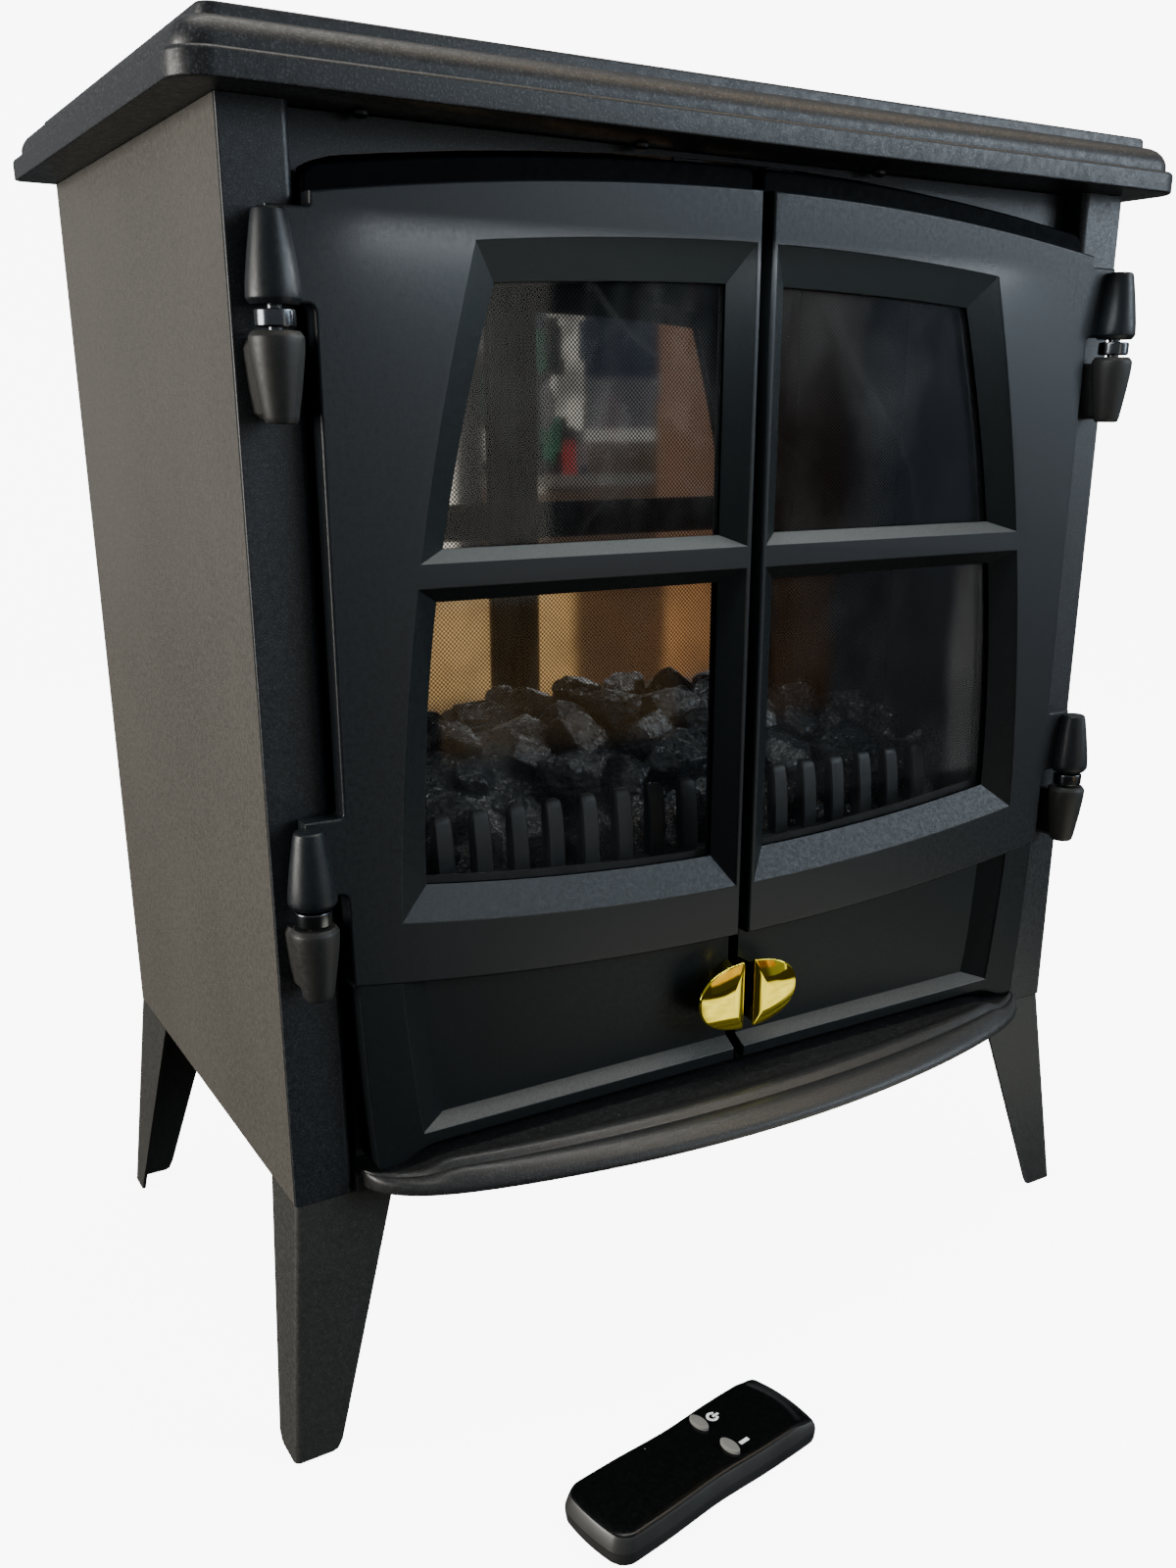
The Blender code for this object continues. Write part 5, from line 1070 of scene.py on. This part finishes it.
bar_ = [(0.0193, -0.0116), (0.0246, -0.0116), (0.0246, -0.0096), (0.0193, -0.0096)]
s.loft([[(u, v, z) for u, v in bar_] for z in (zb, zt)], False, True)
s = s.moved(rloc)
s.build("remote_marks", MARK_PAINTED_GLOW, "remote", "grey_button", 30)

# -------------------------------------------------- finishes of the other nodes
LOOKS = {
    "back_panel": PANEL, "base_tray": COAT_LEG, "front_top_rail": COAT, "control_panel": COAT_LEG,
    "cable_inlet_gland": PLASTIC, "outlet_grille": PLASTIC, "switch_bank": PLASTIC, "rocker_flame": PLASTIC, "rocker_low_heat": PLASTIC, "rocker_high_heat": PLASTIC,
    "thermostat_knob": PLASTIC, "door_catch": PLASTIC, "remote_battery_cover": REMOTE_LOW,
    "firebox_wall_left": LINER, "firebox_wall_right": LINER, "firebox_floor": LINER,
    "flame_screen": MIRROR, "door_glass_left": GLASS, "door_glass_right": GLASS,
    "glass_retainer_left": LINER, "glass_retainer_right": LINER, "flame_rotor": STEEL, "rotor_motor": STEEL, "fan_housing": STEEL, "fan_impeller": STEEL, "fan_motor": STEEL,
    "thermostat_body": STEEL, "plate_screw_left": SCREWS, "plate_screw_middle": SCREWS, "plate_screw_right": SCREWS,
    "lamp_board": LAMP_BOARD, "control_board": CONTROL_BOARD, "remote_board": REMOTE_BOARD, "remote_coin_cell": CELL,
    "heating_element": WIRE, "element_frame": MICA,
}
for nm, m in LOOKS.items():
    ob = frame["nodes"][nm]
    for sl in ob.material_slots:
        sl.material = m

# screws of the back panel
s = Shape()
for x, z in [(sx * px, pz) for sx in (-1, 1) for px, pz in ((0.215, 0.150), (0.215, 0.350), (0.215, 0.550), (0.075, 0.558), (0.075, 0.140))]:
    s.lathe([(0.0, -0.0015), (0.0030, -0.0012), (0.0036, -0.0004), (0.0036, 0.0006), (0.0, 0.0006)], (x, BODY_D - 0.0018, z), 20, "Y")
s.build("back_screws", SCREWS, "stove", "zinc_steel", 35)

# ---------------------------------------------------------------------- stage
def stage_mat(name, col, rough, glow=0.0):
    m, t, b = new_mat(name)
    b.inputs["Base Color"].default_value = (*col, 1)
    b.inputs["Roughness"].default_value = rough
    b.inputs["Specular IOR Level"].default_value = 0.1
    if glow:
        b.inputs["Emission Color"].default_value = (1, 1, 1, 1)
        b.inputs["Emission Strength"].default_value = glow
    return m


PALE = stage_mat("stage_pale", (0.90, 0.90, 0.895), 0.95, 8.0)
me = bpy.data.meshes.new("floor")
rows = []
pts, faces = [], []
curve = [(-6.0, 0.0), (2.2, 0.0)] + [(2.2 + 1.4 * math.sin(math.radians(a)), 1.4 - 1.4 * math.cos(math.radians(a))) for a in (15, 30, 45, 60, 75, 90)] + [(3.6, 5.0)]
for y, z in curve:
    pts += [(-7.0, y, z), (7.0, y, z)]
for k in range(len(curve) - 1):
    faces.append((2 * k, 2 * k + 1, 2 * k + 3, 2 * k + 2))
me.from_pydata(pts, [], faces)
me.materials.append(PALE)
me.shade_smooth()
floor = bpy.data.objects.new("floor", me)
floor.location = (0, 0, -0.0004)
bpy.context.scene.collection.objects.link(floor)
floor.visible_diffuse = False
floor.visible_glossy = False
floor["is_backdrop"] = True

# pale wall all round, far behind the lights, for the other viewpoints
me = bpy.data.meshes.new("pale_wall")
ringp = [(6.6 * math.cos(math.tau * k / 48), 6.6 * math.sin(math.tau * k / 48)) for k in range(48)]
me.from_pydata([(x, y, z) for z in (-0.0008, 7.0) for x, y in ringp], [], [(k, (k + 1) % 48, 48 + (k + 1) % 48, 48 + k) for k in range(48)])
me.materials.append(PALE)
wall = bpy.data.objects.new("pale_wall", me)
bpy.context.scene.collection.objects.link(wall)
for flag in ("visible_diffuse", "visible_glossy", "visible_transmission", "visible_volume_scatter", "visible_shadow"):
    setattr(wall, flag, False)
wall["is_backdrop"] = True

# what the stove itself sees of the floor: dark boards, so that little light comes up from below
me = bpy.data.meshes.new("dark_ground")
me.from_pydata([(-3.0, -3.0, -0.0012), (3.0, -3.0, -0.0012), (3.0, 3.0, -0.0012), (-3.0, 3.0, -0.0012)], [], [(0, 1, 2, 3)])
me.materials.append(stage_mat("stage_dark", (0.060, 0.055, 0.050), 0.9))
ground = bpy.data.objects.new("dark_ground", me)
bpy.context.scene.collection.objects.link(ground)
ground.visible_camera = False
ground.visible_transmission = False
ground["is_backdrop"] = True


def glow_card(name, pts, strength, colour, stops=None):
    """Card that only shows up in the reflections of brass, glass, mirror and paint."""
    m, t, b = new_mat(name)
    for nd in list(t.nodes):
        if nd.type == "BSDF_PRINCIPLED":
            t.nodes.remove(nd)
    em = t.nodes.new("ShaderNodeEmission")
    if callable(colour):
        t.links.new(colour(t, obj_coords(t)), em.inputs["Color"])
    else:
        em.inputs["Color"].default_value = (*colour, 1)
    em.inputs["Strength"].default_value = strength
    t.links.new(em.outputs[0], [n for n in t.nodes if n.type == "OUTPUT_MATERIAL"][0].inputs["Surface"])
    me = bpy.data.meshes.new(name)
    me.from_pydata(pts, [], [(0, 1, 2, 3)])
    me.materials.append(m)
    ob = bpy.data.objects.new(name, me)
    bpy.context.scene.collection.objects.link(ob)
    ob.visible_camera = False
    ob.visible_diffuse = False
    ob.visible_shadow = False
    ob.visible_transmission = False
    ob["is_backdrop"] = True
    return ob


def room(t, v):
    """Blurred room in front of the stove: shelves above, sunlit boards below, dark to the right."""
    s = t.nodes.new("ShaderNodeSeparateXYZ")
    t.links.new(v, s.inputs[0])
    x, z = s.outputs[0], s.outputs[2]
    wob = maths(t, "MULTIPLY_ADD", noise_tex(t, v, 9.0, 2.0, 0.5), 0.024, -0.012)
    xw = maths(t, "ADD", x, wob)
    cells = t.nodes.new("ShaderNodeTexVoronoi")
    cells.distance = "CHEBYCHEV"
    cells.inputs["Scale"].default_value = 54.0
    t.links.new(stretch(t, v, (1.0, 1.0, 0.45)), cells.inputs["Vector"])
    books = ramp(t, cells.outputs["Color"], [(0.0, (0.02, 0.02, 0.02)), (0.30, (0.04, 0.06, 0.10)), (0.40, (0.05, 0.20, 0.13)), (0.46, (0.03, 0.03, 0.035)), (0.52, (0.42, 0.07, 0.07)), (0.56, (0.17, 0.17, 0.18)),
                                             (0.62, (0.09, 0.065, 0.055)), (0.68, (0.85, 0.85, 0.80))], "CONSTANT")
    books = mixc(t, ramp(t, noise_tex(t, v, 26.0, 2.0, 0.5), [(0.42, 0.0), (0.62, 0.7)]), books, (0.05, 0.05, 0.055))

    def band(q, lo, hi, e=0.003):
        """One between lo and hi, nothing outside."""
        return maths(t, "MULTIPLY", ramp(t, q, [(lo - e, 0.0), (lo, 1.0)]), ramp(t, q, [(hi, 1.0), (hi + e, 0.0)]))

    right_bay = band(xw, 0.515, 0.640)
    books = mixc(t, right_bay, books, ramp(t, z, [(0.355, (0.10, 0.066, 0.050)), (0.400, (0.12, 0.090, 0.073)), (0.424, (0.16, 0.137, 0.125)), (0.426, (0.52, 0.52, 0.50)), (0.437, (0.46, 0.46, 0.45)), (0.440, (0.135, 0.135, 0.152)),
                                                  (0.497, (0.12, 0.12, 0.14)), (0.503, (0.022, 0.032, 0.058)), (0.60, (0.018, 0.025, 0.048))]))
    books = mixc(t, band(z, 0.372, 0.384), books, (0.20, 0.19, 0.18))
    books = mixc(t, ramp(t, z, [(0.360, 1.0), (0.372, 0.0)]), books, (0.12, 0.080, 0.058))
    high = ramp(t, xw, [(0.330, (1.55, 1.49, 1.32)), (0.340, (0.03, 0.03, 0.04)), (0.370, (0.02, 0.02, 0.025)), (0.378, (0.0, 0.0, 0.0)), (0.615, (0.0, 0.0, 0.0)), (0.622, (0.29, 0.170, 0.110)), (0.725, (0.22, 0.125, 0.080)),
                        (0.735, (0.22, 0.18, 0.20)), (0.790, (0.34, 0.40, 0.52)), (0.940, (0.44, 0.54, 0.74)), (0.955, (0.06, 0.09, 0.14)), (0.999, (0.01, 0.01, 0.012))])
    inbooks = ramp(t, xw, [(0.370, 0.0), (0.378, 1.0), (0.615, 1.0), (0.622, 0.0)])
    high = mixc(t, inbooks, high, books)
    low = ramp(t, xw, [(0.490, (1.15, 0.72, 0.29)), (0.505, (0.20, 0.105, 0.055)), (0.625, (0.16, 0.075, 0.040)), (0.640, (0.85, 0.42, 0.16)), (0.720, (0.60, 0.29, 0.11)), (0.735, (0.28, 0.30, 0.34)), (0.925, (0.34, 0.39, 0.47)),
                       (0.935, (1.9, 1.87, 1.87)), (0.985, (1.7, 1.67, 1.7)), (0.992, (0.01, 0.01, 0.012))])
    low = mixc(t, ramp(t, noise_tex(t, v, 14.0, 3.0, 0.6), [(0.40, 0.0), (0.70, 0.45)]), low, (0.10, 0.075, 0.05), "MIX")
    col = mixc(t, ramp(t, maths(t, "ADD", z, wob), [(0.262, 1.0), (0.280, 0.0)]), high, low)
    col = mixc(t, ramp(t, z, [(0.096, 0.0), (0.122, 1.0)]), ramp(t, xw, [(0.60, (0.045, 0.046, 0.050)), (0.66, (0.20, 0.22, 0.25)), (0.93, (0.24, 0.26, 0.30)), (0.94, (1.3, 1.3, 1.3)), (0.985, (1.1, 1.1, 1.1)), (0.992, (0.02, 0.02, 0.02))]), col)
    return mixc(t, ramp(t, z, [(0.585, 0.0), (0.640, 1.0)]), col, (0.05, 0.045, 0.040))


glow_card("room_card", [(0.20, -0.86, 0.0), (1.10, -0.86, 0.0), (1.10, -0.86, 0.68), (0.20, -0.86, 0.68)], 1.0, room)
def boards(t, v):
    """Bright patch of boards in front of the stove, soft at its rim."""
    s = t.nodes.new("ShaderNodeSeparateXYZ")
    t.links.new(v, s.inputs[0])
    x, y = s.outputs[0], s.outputs[1]
    fx_ = maths(t, "MULTIPLY", ramp(t, x, [(0.01, 0.0), (0.06, 1.0)]), ramp(t, x, [(0.46, 1.0), (0.52, 0.0)]))
    ny = maths(t, "MULTIPLY", y, -1.0)
    fy_ = maths(t, "MULTIPLY", ramp(t, ny, [(0.21, 0.0), (0.25, 1.0)]), ramp(t, ny, [(0.60, 1.0), (0.66, 0.0)]))
    tone = ramp(t, noise_tex(t, v, 11.0, 3.0, 0.6), [(0.35, (1.35, 1.28, 1.00)), (0.65, (2.0, 1.95, 1.62))])
    return mixc(t, maths(t, "MULTIPLY", fx_, fy_), (0.02, 0.018, 0.015), tone)


glow_card("boards_card", [(0.00, -0.68, 0.001), (0.54, -0.68, 0.001), (0.54, -0.20, 0.001), (0.00, -0.20, 0.001)], 1.0, boards)


def area(name, loc, target, size, power, col=(1, 1, 1), size_y=None):
    li = bpy.data.lights.new(name, "AREA")
    li.shape = "RECTANGLE"
    li.size = size
    li.size_y = size_y or size
    li.energy = power
    li.color = col
    ob = bpy.data.objects.new(name, li)
    ob.location = loc
    ob.rotation_euler = (Vector(target) - Vector(loc)).to_track_quat("-Z", "Y").to_euler()
    bpy.context.scene.collection.objects.link(ob)
    return ob


area("key_left", (-3.0, 0.55, 0.42), (-0.1, 0.05, 0.28), 1.7, 168, (1.0, 0.965, 0.90))
area("top", (0.0, 0.2, 2.6), (0, 0, 0.3), 1.6, 30, (1.0, 0.95, 0.86))
area("warm_lamp", (1.05, -0.40, 2.15), (0, -0.15, 0.58), 1.00, 9, (1.0, 0.80, 0.56))
area("window_right", (2.3, -2.3, 1.25), (0, -0.1, 0.40), 1.7, 80, (0.76, 0.885, 1.0))
coal_light = area("coal_light", (0.0, -0.112, 0.535), (0.0, -0.080, 0.30), 0.36, 0.32, (0.90, 0.96, 1.0), 0.02)
coal_light.visible_camera = False
world = bpy.data.worlds.new("studio") if not bpy.data.worlds else bpy.data.worlds[0]
bpy.context.scene.world = world
world.use_nodes = True
bg = [n for n in world.node_tree.nodes if n.type == "BACKGROUND"]
bg = bg[0] if bg else world.node_tree.nodes.new("ShaderNodeBackground")
bg.inputs["Color"].default_value = (0.90, 0.955, 1.0, 1)
bg.inputs["Strength"].default_value = 0.28

# --------------------------------------------------------------------- camera
cam = bpy.data.cameras.new("photo_view")
cam.sensor_width = 36.0
cam.sensor_fit = "AUTO"
cam.lens = 1439.647 * 36.0 / 1600.0
cam.shift_x = (600.0 - 632.738) / 1600.0
cam.shift_y = (877.528 - 800.0) / 1600.0
cam.clip_start = 0.02
co = bpy.data.objects.new("photo_view", cam)
fwd_, right_, up_ = Vector((0.5010, 0.8085, -0.3087)), Vector((0.8511, -0.5249, 0.0064)), Vector((0.1569, 0.2659, 0.9511))
rot = Matrix((right_, up_, -fwd_)).transposed()
co.matrix_world = Matrix.Translation((-0.4064, -0.6854 + DY, 0.4708)) @ rot.to_4x4()
bpy.context.scene.collection.objects.link(co)
bpy.context.scene.camera = co


def plain_list(b):
    if hasattr(b, "items"):
        return {str(k): plain_list(v) for k, v in b.items()}
    if isinstance(b, (int, float)):
        return float(b)
    return [plain_list(x) for x in b]


{"frame": plain_list(START_BOUNDS), "visual": plain_list(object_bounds())}
